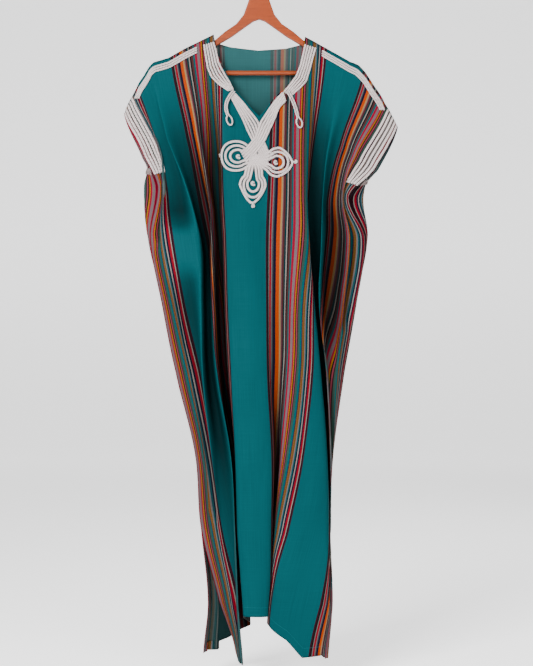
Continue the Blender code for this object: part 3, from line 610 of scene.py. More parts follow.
def patch(
    name: str,
    cells: tuple[int, int],
    shape: Callable[[int, int], Spot],
    finishes: Sequence[bpy.types.Material],
    side: Side,
) -> bpy.types.Object:
    """A piece made from a grid, with each of its points placed by a function.

    Args:
        name: The piece's name.
        cells: How many cells the grid has, across and down.
        shape: Gives the point in millimetres and its pattern places, for a column and a row.
        finishes: The materials, the outer one first.
        side: Which way the piece faces.

    Returns:
        The piece.
    """
    bm = bmesh.new()
    bmesh.ops.create_grid(bm, x_segments=cells[0], y_segments=cells[1], size=1.0)
    pattern = bm.loops.layers.uv.new(PATTERN)
    edge = bm.loops.layers.uv.new(EDGE_PATTERN)
    bm.verts.index_update()
    spots = []
    for vert in bm.verts:
        column = round((vert.co.x + 1) / 2 * cells[0])
        row = round((1 - vert.co.y) / 2 * cells[1])
        spots.append(shape(column, row))
    for vert, spot in zip(bm.verts, spots):
        vert.co = spot.point * MM
    for face in bm.faces:
        for loop in face.loops:
            spot = spots[loop.vert.index]
            loop[pattern].uv = spot.pattern
            loop[edge].uv = spot.edge
    if side is Side.BACK:
        bmesh.ops.reverse_faces(bm, faces=bm.faces[:])
    return finished(name, bm, finishes)


def finished(name: str, bm: bmesh.types.BMesh, finishes: Sequence[bpy.types.Material]) -> bpy.types.Object:
    """A smooth piece that rides on the body, from a bmesh."""
    mesh = bpy.data.meshes.new(name)
    bm.to_mesh(mesh)
    bm.free()
    mesh.shade_smooth()
    for finish in finishes:
        mesh.materials.append(finish)
    piece = bpy.data.objects.new(name, mesh)
    bpy.context.collection.objects.link(piece)
    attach(piece, BODY)
    return piece


def operator(kind: str, swap: bool = False) -> Callable[[Value, Value | float], Value]:
    """A method that puts a value and another operand through a Math node.

    Args:
        kind: The Math node's operation.
        swap: Whether the other operand comes first.

    Returns:
        The method.
    """

    def work(value: Value, other: Value | float) -> Value:
        return value.maths(kind, other, swap=swap)

    return work


@dataclass(frozen=True)
class Value:
    """A number that varies over a surface, written with plain operators."""

    tree: bpy.types.ShaderNodeTree
    socket: bpy.types.NodeSocket

    def maths(self, operation: str, *others: Value | float, swap: bool = False) -> Value:
        """This value and others through a Math node.

        Args:
            operation: The Math node's operation.
            others: The other operands.
            swap: Whether this value comes second.

        Returns:
            The node's result.
        """
        node = self.tree.nodes.new("ShaderNodeMath")
        node.operation = operation
        operands = [*others, self] if swap else [self, *others]
        for slot, operand in zip(node.inputs, operands):
            if isinstance(operand, Value):
                self.tree.links.new(operand.socket, slot)
            else:
                slot.default_value = operand
        return Value(self.tree, node.outputs[0])

    __add__ = __radd__ = operator("ADD")
    __sub__ = operator("SUBTRACT")
    __rsub__ = operator("SUBTRACT", swap=True)
    __mul__ = operator("MULTIPLY")
    __truediv__ = operator("DIVIDE")
    __gt__ = operator("GREATER_THAN")
    __lt__ = operator("LESS_THAN")

    def between(self, low: float, high: float) -> Value:
        """1 between two numbers, else 0."""
        return (self > low) * (self < high)

    def fraction(self) -> Value:
        """The part after the point."""
        return self.maths("FRACT")

    def wave(self, period: float) -> Value:
        """A wave from 0 to 1 with that period."""
        return (self * (2 * math.pi / period)).maths("SINE") * 0.5 + 0.5

    def distance(self, place: float) -> Value:
        """How far this is from a number."""
        return (self - place).maths("ABSOLUTE")


class Grain(NamedTuple):
    """Noise in a surface: its scale along each axis, detail, strength and the level it counts above."""

    scale: tuple[float, float, float]
    detail: float = 2.0
    strength: float = 1.0
    above: float = 0.0


class Shader:
    """A material and the nodes that feed it."""

    def __init__(self, name: str, roughness: float, metallic: float = 0.0, specular: float = 0.5) -> None:
        """Start a material whose shader has these even settings."""
        self.material = bpy.data.materials.new(name)
        self.material.use_nodes = True
        self.tree = self.material.node_tree
        self.surface = next(node for node in self.tree.nodes if node.type == "BSDF_PRINCIPLED")
        self.surface.inputs["Roughness"].default_value = roughness
        self.surface.inputs["Metallic"].default_value = metallic
        self.surface.inputs["Specular IOR Level"].default_value = specular

    def feed(self, slot: bpy.types.NodeSocket, given: Any) -> None:
        """Link a value or a socket to a slot, or set the slot's own number, vector or colour."""
        source = given.socket if isinstance(given, Value) else given
        if isinstance(source, bpy.types.NodeSocket):
            self.tree.links.new(source, slot)
        elif slot.type == "RGBA":
            slot.default_value = (*source, 1.0)
        else:
            slot.default_value = source

    def node(self, kind: str, settings: dict[str, Any] | None = None, inputs: dict | None = None) -> Any:
        """Add a node.

        Args:
            kind: The node's type, without its first word.
            settings: Its properties.
            inputs: Values or links of its sockets, by name or place.

        Returns:
            The node.
        """
        node = self.tree.nodes.new("ShaderNode" + kind)
        for key, setting in (settings or {}).items():
            setattr(node, key, setting)
        for key, given in (inputs or {}).items():
            self.feed(node.inputs[key], given)
        return node

    def value(self, socket: bpy.types.NodeSocket) -> Value:
        """A socket as a value."""
        return Value(self.tree, socket)

    def ramp(self, place: Value, stops: Sequence[tuple[float, tuple]]) -> Any:
        """A colour that changes in steps, as a socket.

        Args:
            place: Where on the ramp the surface is, from 0 to 1.
            stops: Where each colour starts, and the colour.

        Returns:
            The colour's socket.
        """
        node = self.node("ValToRGB", {}, {0: place})
        ramp = node.color_ramp
        ramp.interpolation = "CONSTANT"
        ramp.elements.remove(ramp.elements[1])
        ramp.elements[0].position = stops[0][0]
        ramp.elements[0].color = (*stops[0][1], 1.0)
        for start, colour in stops[1:]:
            ramp.elements.new(start).color = (*colour, 1.0)
        return node.outputs[0]

    def mix(self, share: Value | float, first: Any, second: Any, kind: str = "MIX") -> Any:
        """Two colours mixed, as a socket.

        Args:
            share: How much of the second colour there is.
            first: A colour or a link.
            second: A colour or a link.
            kind: How the Mix node blends them.

        Returns:
            The mixed colour's socket.
        """
        settings = {"data_type": "RGBA", "blend_type": kind, "clamp_factor": True}
        node = self.node("Mix", settings, {0: share})
        colours = [item for item in node.inputs if item.type == "RGBA"]
        for slot, given in zip(colours, (first, second)):
            self.feed(slot, given)
        return next(item for item in node.outputs if item.type == "RGBA")

    def noise(self, spot: Any, grain: Grain) -> Value:
        """A grain's noise over a vector."""
        stretched = self.node("Mapping", {}, {"Vector": spot, "Scale": grain.scale}).outputs[0]
        node = self.node("TexNoise", {}, {"Vector": stretched, "Scale": 1.0, "Detail": grain.detail})
        return self.value(node.outputs[0])

    def places(self, layer: str) -> tuple[Any, Value, Value]:
        """A piece's pattern places: the vector, and its two numbers in millimetres."""
        places = self.node("UVMap", {"uv_map": layer}).outputs[0]
        parts = self.node("SeparateXYZ", {}, {0: places})
        return places, self.value(parts.outputs[0]) / MM, self.value(parts.outputs[1]) / MM

    def paint(self, colour: Any) -> None:
        """Give the surface its colour."""
        self.feed(self.surface.inputs["Base Color"], colour)

    def rough(self, roughness: Value) -> None:
        """Give the surface its varying roughness."""
        self.feed(self.surface.inputs["Roughness"], roughness)

    def raise_by(self, height: Value, depth: float) -> None:
        """Give the surface fine relief: the height from 0 to 1, and its depth in millimetres."""
        bump = self.node("Bump", {}, {"Height": height, "Distance": depth * MM, "Strength": 1.0})
        self.feed(self.surface.inputs["Normal"], bump.outputs[0])


Colour = tuple[float, float, float]


def paint(red: int, green: int, blue: int) -> Colour:
    """A linear colour from the three parts of a paint chip, each from 0 to 255."""
    parts = (red / 255, green / 255, blue / 255)
    return tuple(part / 12.92 if part <= 0.04045 else ((part + 0.055) / 1.055) ** 2.4 for part in parts)


class Yarn(Enum):
    """The colours of the warp yarns."""

    TEAL = paint(0, 108, 116)
    DEEP_TEAL = paint(0, 62, 68)
    PALE_TEAL = paint(30, 92, 100)
    MAROON = paint(66, 18, 36)
    BROWN = paint(96, 46, 46)
    BLACK_GREEN = paint(16, 32, 26)
    BLACK = paint(20, 16, 22)
    NAVY = paint(22, 20, 50)
    GREY = paint(68, 75, 82)
    PALE = paint(134, 128, 128)
    WHITE = paint(172, 164, 156)
    CREAM = paint(196, 160, 104)
    MAUVE = paint(130, 86, 102)
    LILAC = paint(142, 122, 126)
    PINK = paint(176, 74, 92)
    CRIMSON = paint(186, 4, 56)
    RED = paint(172, 6, 38)
    ORANGE = paint(226, 84, 0)
    GOLD = paint(214, 142, 8)
    GOLD_BROWN = paint(140, 92, 34)
    TAN = paint(150, 104, 46)
    ROSE_BROWN = paint(96, 54, 54)
    GREY_GREEN = paint(62, 96, 84)
    PURPLE = paint(58, 20, 60)


# The stripes of one group, left to right: each one's yarn and width
STRIPES = (
    (Yarn.MAROON, 3.5), (Yarn.BLACK_GREEN, 3.0), (Yarn.PALE, 2.0), (Yarn.RED, 4.5), (Yarn.PALE, 2.0),
    (Yarn.GREY, 2.5), (Yarn.NAVY, 5.0), (Yarn.ORANGE, 7.0), (Yarn.CREAM, 3.5), (Yarn.MAUVE, 2.5),
    (Yarn.BROWN, 4.0), (Yarn.DEEP_TEAL, 4.0), (Yarn.WHITE, 2.7), (Yarn.BLACK, 3.0), (Yarn.ROSE_BROWN, 4.8),
    (Yarn.TEAL, 4.0), (Yarn.CRIMSON, 5.0), (Yarn.LILAC, 6.0), (Yarn.CRIMSON, 3.0), (Yarn.GOLD, 2.7),
    (Yarn.BLACK_GREEN, 2.7), (Yarn.PINK, 2.5), (Yarn.MAROON, 2.2), (Yarn.GREY_GREEN, 4.8), (Yarn.TEAL, 5.0),
    (Yarn.PURPLE, 2.0), (Yarn.TAN, 3.5), (Yarn.GOLD_BROWN, 2.5), (Yarn.PALE, 2.5), (Yarn.PALE_TEAL, 3.0),
    (Yarn.NAVY, 3.0), (Yarn.WHITE, 2.5), (Yarn.NAVY, 3.0), (Yarn.RED, 4.5), (Yarn.WHITE, 2.0),
    (Yarn.BLACK, 1.5), (Yarn.MAROON, 3.5),
)
# A ramp holds 32 colours at most, so the group takes two: this many stripes, then the rest
FIRST_STRIPES = 17
REPEAT = 227.0
REPEAT_START = -427.0
# Where brown dashes cross a stripe of the group, from and to
DASHED = ((72.0, 74.7), (93.9, 99.9))


def stripe_stops(stripes: Sequence[tuple[Yarn, float]], total: float) -> list[tuple[float, Colour]]:
    """A colour ramp's stops for a row of stripes, as shares of a total width."""
    stops = []
    place = 0.0
    for yarn, width in stripes:
        stops.append((place / total, yarn.value))
        place += width
    return stops


@dataclass(frozen=True)
class StripedCloth:
    """The woven cloth: teal ground, and groups of stripes that run down it, with painted shade in its folds'
    valleys.
    """

    name: str
    faded: float = 0.0
    hem_stitches: bool = False
    relief: float = 0.35
    tone: float = 0.09
    warp: Grain = Grain((900.0, 9.0, 1.0), strength=0.13)
    weft: Grain = Grain((14.0, 1100.0, 1.0), strength=0.07)
    wear: Grain = Grain((9.0, 4.0, 1.0), 3.0, strength=0.09)
    speck: Grain = Grain((1500.0, 1500.0, 1.0), 1.0, strength=0.3)
    rumple: Grain = Grain((26.0, 11.0, 1.0), 4.0, strength=0.8)
    wrong_side: Colour = paint(88, 136, 134)
    dash_pitch: float = 3.6
    dash_above: float = 0.55
    dash_strength: float = 0.35
    thread_pitch: float = 0.9
    thread_height: float = 0.05
    hem_height: float = 0.35
    stitch_above: float = 0.22
    stitch_height: float = 0.3
    stitch_strength: float = 0.3

    def stripes(self, shader: Shader, across: Value) -> tuple[Value, Any]:
        """How far into a stripe group each point lies, and the stripes' colour there as a socket."""
        group = ((across - REPEAT_START) / REPEAT).fraction() * REPEAT
        split = sum(width for _, width in STRIPES[:FIRST_STRIPES])
        rest = REPEAT - split
        ground = (Yarn.TEAL, REPEAT)
        first = shader.ramp(group / split, stripe_stops(STRIPES[:FIRST_STRIPES], split))
        second = shader.ramp(
            (group - split) / rest, stripe_stops((*STRIPES[FIRST_STRIPES:], ground), rest)
        )
        return group, shader.mix(group > split, first, second)

    def make(self) -> bpy.types.Material:
        """The cloth's material."""
        shader = Shader(self.name, roughness=0.72, specular=0.03)
        spot, across, down = shader.places(PATTERN)
        # The fold depth share, which darkens the colour as painted shade
        hollow = shader.places(EDGE_PATTERN)[1]
        group, colour = self.stripes(shader, across)
        warp = shader.noise(spot, self.warp)
        weft = shader.noise(spot, self.weft)
        wear = shader.noise(spot, self.wear)
        tone = warp * self.warp.strength + weft * self.weft.strength + wear * self.wear.strength
        # Painted shade: the tone darkens in the folds' valleys, by how deep they lie
        tone = (tone + self.tone) * (1.0 - hollow * FOLD_SHADE)
        dashed = group.between(*DASHED[0]) + group.between(*DASHED[1])
        dashes = (down.wave(self.dash_pitch) > self.dash_above) * dashed
        colour = shader.mix(dashes * self.dash_strength, colour, Yarn.BROWN.value)
        if self.faded:
            speck = shader.noise(spot, self.speck) - 0.5
            colour = shader.mix(speck * self.speck.strength + self.faded, colour, self.wrong_side)
        colour = shader.mix(1.0, colour, tone, "MULTIPLY")
        weave = (across.wave(self.thread_pitch) + down.wave(self.thread_pitch)) * 0.5
        height = weave * self.thread_height + shader.noise(spot, self.rumple) * self.rumple.strength
        if self.hem_stitches:
            rise = shader.places(EDGE_PATTERN)[2]
            thread = across.wave(STITCH_PITCH) > self.stitch_above
            stitch = (rise.distance(HEM_STITCH) < STITCH_WIDTH) * thread
            colour = shader.mix(stitch * self.stitch_strength, colour, Yarn.PALE_TEAL.value)
            height = height + (rise < HEM_STITCH) * self.hem_height + stitch * self.stitch_height
        shader.paint(colour)
        shader.rough(warp * 0.16 + 0.66)
        shader.raise_by(height, self.relief)
        return shader.material


@dataclass(frozen=True)
class TwistedCord:
    """White cord of two plies, and its grooves, with shade painted into the grooves and onto the cord's
    underside by the cloth.
    """

    name: str
    colour: Colour
    # The painted shade's colour, in the grooves and on the underside
    shade: Colour = paint(98, 84, 82)
    soil: Grain = Grain((40.0, 400.0, 1.0), strength=0.2)
    groove_shade_strength: float = 0.8
    underside_shade_start: float = 0.18
    underside_shade_width: float = 0.14
    underside_shade_strength: float = 0.85
    relief: float = 0.8

    def make(self) -> bpy.types.Material:
        """The cord's material."""
        shader = Shader(self.name, roughness=0.6, specular=0.25)
        spot, run, around = shader.places(PATTERN)
        twist = run / CORD_PITCH + around
        ply = twist.wave(0.5)
        fibre = twist.wave(0.0625)
        # Painted shade in the grooves between the plies
        colour = shader.mix((1.0 - ply) * self.groove_shade_strength, self.colour, self.shade)
        # Painted shade on the cord's underside and lower sides, where it lies against the cloth
        cord_underside_shade = 1.0 - (around.distance(0.5) - self.underside_shade_start) / self.underside_shade_width
        colour = shader.mix(cord_underside_shade, colour, shader.mix(self.underside_shade_strength, colour, self.shade))
        soil = shader.noise(spot, self.soil) * self.soil.strength + 0.86
        shader.paint(shader.mix(1.0, colour, soil, "MULTIPLY"))
        shader.raise_by(ply * 0.8 + fibre * 0.2, self.relief)
        return shader.material


@dataclass(frozen=True)
class VarnishedWood:
    """Orange-brown wood under a satin varnish, with its grain along X."""

    name: str
    flow: Grain = Grain((9.0, 60.0, 60.0), 3.0)
    rings: Grain = Grain((7.0, 160.0, 220.0), 5.0, 0.3, 0.56)
    pores: Grain = Grain((60.0, 1800.0, 1800.0), 2.0, 0.35, 0.62)
    relief: float = 0.06

    def make(self) -> bpy.types.Material:
        """The wood's material."""
        shader = Shader(self.name, roughness=0.42, specular=0.2)
        spot = shader.node("TexCoord").outputs["Object"]
        flow = shader.noise(spot, self.flow)
        rings = shader.noise(spot, self.rings)
        pores = shader.noise(spot, self.pores)
        colour = shader.mix(flow, paint(124, 50, 14), paint(102, 38, 8))
        colour = shader.mix((rings > self.rings.above) * self.rings.strength, colour, paint(66, 22, 4))
        colour = shader.mix((pores > self.pores.above) * self.pores.strength, colour, paint(44, 14, 3))
        shader.paint(colour)
        shader.rough(rings * 0.14 + 0.3)
        shader.raise_by(1.0 - pores, self.relief)
        shader.surface.inputs["Coat Weight"].default_value = 0.05
        return shader.material


@dataclass(frozen=True)
class BrightWire:
    """Drawn steel wire, with fine scratches."""

    name: str
    scratches: Grain = Grain((900.0, 900.0, 60.0), 3.0)
    relief: float = 0.03

    def make(self) -> bpy.types.Material:
        """The wire's material."""
        shader = Shader(self.name, roughness=0.24, metallic=1.0)
        scratches = shader.noise(shader.node("TexCoord").outputs["Object"], self.scratches)
        shader.paint(shader.mix(scratches, paint(196, 196, 200), paint(160, 160, 166)))
        shader.rough(scratches * 0.2 + 0.18)
        shader.raise_by(scratches, self.relief)
        return shader.material


@dataclass(frozen=True)
class PalePaper:
    """The floor and the wall behind: a seamless pale sheet."""

    name: str
    tone: Grain = Grain((0.8, 0.8, 0.8))
    glow: float = 0.9

    def make(self) -> bpy.types.Material:
        """The paper's material."""
        shader = Shader(self.name, roughness=0.9)
        tone = shader.noise(shader.node("TexCoord").outputs["Object"], self.tone)
        shader.paint(shader.mix(tone, paint(250, 250, 250), paint(246, 246, 247)))
        shader.surface.inputs["Emission Color"].default_value = (1.0, 1.0, 1.0, 1.0)
        shader.surface.inputs["Emission Strength"].default_value = self.glow
        return shader.material


def make_cloth(piece: bpy.types.Object, node: str, inner: int = 0) -> None:
    """Finish a cloth piece.

    Args:
        piece: The piece.
        node: The node that it stands for.
        inner: How many materials further on its inner side's is.
    """
    wall = piece.modifiers.new("wall", "SOLIDIFY")
    wall.thickness = CLOTH_THICK * MM
    wall.offset = -1.0
    wall.material_offset = inner
    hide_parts(node)
    log.info("%s hangs", node)


def panel_columns(form: Form, step: float) -> list[float]:
    """Places across a panel: its corners, and evenly between them."""
    corners = [CLOTH_LEFT, *(edge.cloth for edge in form.neck), CLOTH_RIGHT]
    columns = [CLOTH_LEFT]
    for start, end in zip(corners, corners[1:]):
        columns += spread(start, end, max(math.ceil((end - start) / step), 1))[1:]
    return columns


@dataclass
class Panel:
    """The front or back of the dress: one length of striped cloth."""

    name: str
    form: Form
    node: str
    step: float
    rows: int

    def make(self, finishes: Sequence[bpy.types.Material]) -> bpy.types.Object:
        """The hanging panel.

        Args:
            finishes: The cloth's right side and wrong side.

        Returns:
            The piece.
        """
        columns = panel_columns(self.form, self.step)
        tops = [self.form.top_level(place) for place in columns]

        def shape(column: int, row: int) -> Spot:
            place = columns[column]
            level = blend(tops[column], LAST_LEVEL, (row / self.rows) ** ROW_SPREAD)
            point = self.form.point(place, level)
            rise = point.z - along(self.form.hem, place)
            # The fold depth share, for the shade painted into the cloth's valleys
            hollow = self.form.hollow(place, level)
            return Spot(point, (place * MM, point.z * MM), (hollow * MM, rise * MM))

        piece = patch(self.name, (len(columns) - 1, self.rows), shape, finishes, self.form.side)
        make_cloth(piece, self.node, inner=1)
        return piece


@dataclass
class HemTurn:
    """A stretch of cloth turned up inside the hem."""

    name: str
    side: Side
    start: float
    end: float

    def make(self, form: Form, finish: bpy.types.Material) -> None:
        """Model the turned-up cloth inside a panel's form."""
        cells = max(round((self.end - self.start) / HEM_TURN_CELL), 2)
        columns = spread(self.start, self.end, cells)

        def shape(column: int, row: int) -> Spot:
            place = columns[column]
            height = along(form.hem, place) + HEM_TURN_INSET + row * HEM_STITCH / HEM_TURN_ROWS
            point = form.spot(place, height)
            point -= form.out(place, height + FEEL) * HEM_TURN_IN
            return Spot(point, (place * MM, height * MM))

        inside = Side.BACK if self.side is Side.FRONT else Side.FRONT
        piece = patch(f"{self.name}_cloth", (cells, HEM_TURN_ROWS), shape, [finish], inside)
        make_cloth(piece, self.name)


def even_route(points: Sequence[Vector], spacing: float) -> list[Vector]:
    """Evenly spaced points on a smooth curve through a cord's own points."""
    fine = []
    for index in range(len(points) - 1):
        fine += [round_curve(points, index, step / FINE_STEPS) for step in range(FINE_STEPS)]
    fine.append(points[-1])
    length = sum((second - first).length for first, second in zip(fine, fine[1:]))
    count = max(round(length / spacing), 2)
    result = [fine[0]]
    walked = 0.0
    for first, second in zip(fine, fine[1:]):
        run = (second - first).length
        while len(result) < count and walked + run >= len(result) * length / count:
            share = (len(result) * length / count - walked) / run
            result.append(first.lerp(second, share))
        walked += run
    result.append(fine[-1])
    return result


@dataclass
class CordRow:
    """One twisted cord: its middle line, and the outward direction at each point."""

    points: list[Vector]
    normals: list[Vector]
    radius: float
    flat: float = CORD_FLAT

    def add_to(self, bm: bmesh.types.BMesh) -> None:
        """Model the cord in a bmesh, as a tube of two twisted plies."""
        cells = len(self.points) - 1
        grown = bmesh.ops.create_grid(bm, x_segments=cells, y_segments=CORD_SIDES, size=1.0)
        verts = grown["verts"]
        faces = {face for vert in verts for face in vert.link_faces}
        layer = bm.loops.layers.uv.verify()
        walked = [0.0]
        for first, second in zip(self.points, self.points[1:]):
            walked.append(walked[-1] + (second - first).length)
        marks = {}
        for vert in verts:
            step = round((vert.co.x + 1) / 2 * cells)
            around = round((vert.co.y + 1) / 2 * CORD_SIDES)
            marks[vert] = (walked[step] * MM, around / CORD_SIDES * MM)
            vert.co = self.skin(step, around, walked[step]) * MM
        for face in faces:
            for loop in face.loops:
                loop[layer].uv = marks[loop.vert]
        bmesh.ops.remove_doubles(bm, verts=verts, dist=WELD * MM)
        ends = [edge for edge in bm.edges if edge.is_boundary]
        bmesh.ops.holes_fill(bm, edges=ends, sides=0)

    def skin(self, step: int, around: int, walked: float) -> Vector:
        """A point on the cord's skin."""
        last = len(self.points) - 1
        before = self.points[max(step - 1, 0)]
        after = self.points[min(step + 1, last)]
        run = (after - before).normalized()
        side = run.cross(self.normals[step]).normalized()
        up = side.cross(run)
        turn = 2 * math.pi * (around % CORD_SIDES) / CORD_SIDES
        ply = math.cos(2 * (turn - 2 * math.pi * walked / CORD_PITCH))
        radius = self.radius * (1 - PLY_GROOVE + PLY_GROOVE * ply)
        if step in (0, last):
            radius *= CORD_END
        return self.points[step] + (up * math.cos(turn) * self.flat + side * math.sin(turn)) * radius


def cord_piece(name: str, rows: Sequence[CordRow], finish: bpy.types.Material) -> bpy.types.Object:
    """The piece of one or more twisted cords that stands for a node."""
    bm = bmesh.new()
    bm.loops.layers.uv.new(PATTERN)
    for row in rows:
        row.add_to(bm)
    bmesh.ops.recalc_face_normals(bm, faces=bm.faces[:])
    piece = finished(f"{name}_cord", bm, [finish])
    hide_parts(name)
    log.info("%s is sewn on, %d cords", name, len(rows))
    return piece


def coiled(centre: Vector, turns: float, radii: tuple[float, float], count: int) -> list[tuple[float, float]]:
    """A flat coil's points.

    Args:
        centre: The coil's centre, as (place across the cloth, height).
        turns: How many turns it makes.
        radii: Its inner and outer radius.
        count: How many points there are.

    Returns:
        The points, from the inner end outwards.
    """
    route = []
    for step in range(count):
        swing = turns * 2 * math.pi * step / (count - 1)
        out = blend(radii[0], radii[1], step / (count - 1))
        route.append((centre.x + out * math.cos(swing), centre.y + out * math.sin(swing)))
    return route


def couched(form: Form, route: Sequence[tuple[float, float]], lift: float, radius: float) -> CordRow:
    """A cord sewn down on the cloth along a route.

    Args:
        form: The cloth that it lies on.
        route: The cord's own points, as (place across the cloth, height).
        lift: How far the cord's middle is above the cloth.
        radius: The cord's radius.

    Returns:
        The cord.
    """
    flat = even_route([Vector((place, height)) for place, height in route], CORD_STEP)
    points = []
    normals = []
    for place, height in flat:
        normal = form.out(place, height)
        points.append(form.spot(place, height) + normal * lift)
        normals.append(normal)
    return CordRow(points, normals, radius)


class Cuff(NamedTuple):
    """A half of a cuff's braid: its node, its panel, the cut edge, and the way inwards."""

    name: str
    side: Side
    edge: float
    inwards: int


class Loop(NamedTuple):
    """A loop of the chest motif: its centre and inner tip, its half width and its bead.

    Its far end is drawn out by a factor of its width, to a point where pointed is 1.
    """

    name: str
    centre: tuple[float, float]
    tip: tuple[float, float]
    width: float
    drawn: float
    pointed: float
    bead: tuple[float, float]


class TieRoute(NamedTuple):
    """A tie, as (across, height) points from its root to its hanging loop."""

    name: str
    points: tuple[tuple[float, float], ...]
    loop_radius: float


@dataclass
class Trimming:
    """All the white cord on the dress."""

    front: Form
    back: Form
    finish: bpy.types.Material
    row_radius: float = 2.3
    cuff_radius: float = 3.1
    motif_radius: float = 3.0
    lift: float = 1.5

    def band(self, band: BandEdges) -> None:
        """Sew on rows of cord side by side between two edges."""
        inner = even_shares(band.near, BAND_CELLS)
        outer = even_shares(band.far, BAND_CELLS)
        cords = []
        for row in range(BAND_ROWS):
            share = (row + 0.5) / BAND_ROWS
            route = [
                (blend(start[0], end[0], share), blend(start[1], end[1], share))
                for start, end in zip(inner, outer)
            ]
            cords.append(couched(self.front, route, band.lift, band.radius))
        cord_piece(band.name, cords, self.finish)

    def cuff(self, cuff: Cuff) -> None:
        """Sew on rows of cord along half a cuff, from the shoulder to the underarm."""
        form = self.front if cuff.side is Side.FRONT else self.back
        cords = []
        for row in range(CUFF_ROWS):
            place = cuff.edge + cuff.inwards * (CUFF_INSET + (row + 0.5) * CUFF_PITCH)
            fine = [form.point(place, level) for level in spread(*CUFF_LEVELS, CUFF_CELLS)]
            points = even_route(fine, CORD_STEP)
            normals = [form.out(place, point.z) for point in points]
            points = [point + normal * self.lift for point, normal in zip(points, normals)]
            cords.append(CordRow(points, normals, self.cuff_radius))
        cord_piece(cuff.name, cords, self.finish)

    def shoulder(self, name: str, start: float, end: float) -> None:
        """Sew on rows of cord down a shoulder seam, from one place on the cloth to another."""
        cords = []
        for row in range(SHOULDER_ROWS):
            drop = SHOULDER_DROP + (row + 0.5) * SHOULDER_PITCH
            reach = row * SHOULDER_PITCH * (1 if end > start else -1)
            places = spread(start, end - reach, SHOULDER_CELLS)
            route = [(place, shoulder_point(place)[1] - drop) for place in places]
            cords.append(couched(self.front, route, self.lift, self.row_radius))
        cord_piece(name, cords, self.finish)

    def loop(self, loop: Loop) -> None:
        """Sew on a motif loop: drawn-out turns of cord whose ends cross at its inner tip."""
        axis = Vector((loop.tip[0] - loop.centre[0], loop.tip[1] - loop.centre[1]))
        reach = axis.length
        ahead = axis.normalized()
        aside = Vector((-ahead.y, ahead.x))
        cords = []
        for turn, share in enumerate(LOOP_TURNS):
            width = loop.width * share
            centre = Vector(loop.centre) + ahead * turn * LOOP_SHIFT
            route = []
            for angle in spread(-LOOP_SWEEP, LOOP_SWEEP, LOOP_POINTS):
                swing = math.radians(angle)
                away = math.cos(swing)
                if away > 0:
                    sharp = 1 - abs(math.sin(swing)) ** LOOP_POINTED
                    away = blend(away, sharp, 0.0 if turn else loop.pointed) * loop.drawn
                spot = -ahead * away * width + aside * math.sin(swing) * width
                route.append(tuple(centre + spot))
            spread_out = TAIL_GAP * (len(LOOP_TURNS) - turn - 0.5)
            for past, side in zip((reach * TAIL_NEAR, reach + TAIL_PAST), TAIL_SPREAD):
                before = ahead * past - aside * spread_out * side
                after = ahead * past + aside * spread_out * side
                route.insert(0, (loop.centre[0] + before.x, loop.centre[1] + before.y))
                route.append((loop.centre[0] + after.x, loop.centre[1] + after.y))
            cords.append(couched(self.front, route, self.lift + LOOP_LIFT, self.motif_radius))
        centre = Vector(loop.centre) + ahead * len(LOOP_TURNS) * LOOP_SHIFT
        eye = coiled(centre, EYE_TURNS, EYE_RADII, EYE_POINTS)
        cords.append(couched(self.front, eye, self.lift + LOOP_LIFT, self.motif_radius))
        cord_piece(loop.name, cords, self.finish)

    def bead(self, loop: Loop) -> None:
        """Sew on the small coil of cord at a loop's outer end, and the stem that joins them."""
        coil = coiled(Vector(loop.bead), BEAD_TURNS, BEAD_RADII, BEAD_POINTS)
        axis = Vector(loop.bead) - Vector(loop.centre)
        root = Vector(loop.centre) + axis.normalized() * loop.width * loop.drawn
        stem = [tuple(root), tuple(root.lerp(Vector(loop.bead), 0.5)), tuple(loop.bead)]
        cords = [
            couched(self.front, coil, self.lift + LOOP_LIFT, BEAD_CORD),
            couched(self.front, stem, self.lift + LOOP_LIFT, self.row_radius),
        ]
        cord_piece(loop.name.replace("loop", "bead"), cords, self.finish)

    def tie(self, tie: TieRoute) -> None:
        """Hang a tie: doubled cord from the slit's corner, with a loop at its hanging end."""
        points = self.tie_points(tie)
        normals = [Vector((0.0, -1.0, 0.0))] * len(points)
        piece = cord_piece(tie.name, [CordRow(points, normals, TIE_RADIUS, 1.0)], self.finish)
        length = sum((second - first).length for first, second in zip(points, points[1:]))
        log.info("%s hangs, %.0f mm of cord", tie.name, length)

    def tie_points(self, tie: TieRoute) -> list[Vector]:
        """A tie's middle line: down one strand, round the loop and up the other."""
        spine = [Vector(point) for point in tie.points]
        half = TIE_RADIUS + TIE_GAP / 2
        down = []
        for index, point in enumerate(spine):
            before = spine[max(index - 1, 0)]
            after = spine[min(index + 1, len(spine) - 1)]
            run = (after - before).normalized()
            down.append((point, Vector((-run.y, run.x))))
        end, side = down[-1]
        run = Vector((side.y, -side.x))
        centre = end + run * (tie.loop_radius * TIE_LOOP_LONG)
        loop = []
        for step in range(1, TIE_LOOP_STEPS):
            turn = math.radians(-TIE_LOOP_TURN + 2 * TIE_LOOP_TURN * step / TIE_LOOP_STEPS)
            swing = side * (math.sin(turn) * tie.loop_radius * TIE_LOOP_WIDE)
            loop.append(centre + run * (math.cos(turn) * tie.loop_radius) * TIE_LOOP_LONG + swing)
        left = [point - normal * half for point, normal in down]
        right = [point + normal * half for point, normal in down]
        flat = left + loop + right[::-1]
        high = max(point.y for point in flat)
        low = min(point.y for point in flat)
        root = self.front.spot(spine[0].x, high).y - TIE_STAND + TIE_SEAT
        hung = min(self.front.spot(point.x, point.y).y for point in flat) - TIE_STAND
        route = []
        for point in flat:
            share = min((high - point.y) / (high - low) * TIE_SETTLE, 1.0)
            route.append(Vector((point.x, blend(root, hung, share), point.y)))
        return even_route(route, CORD_STEP)


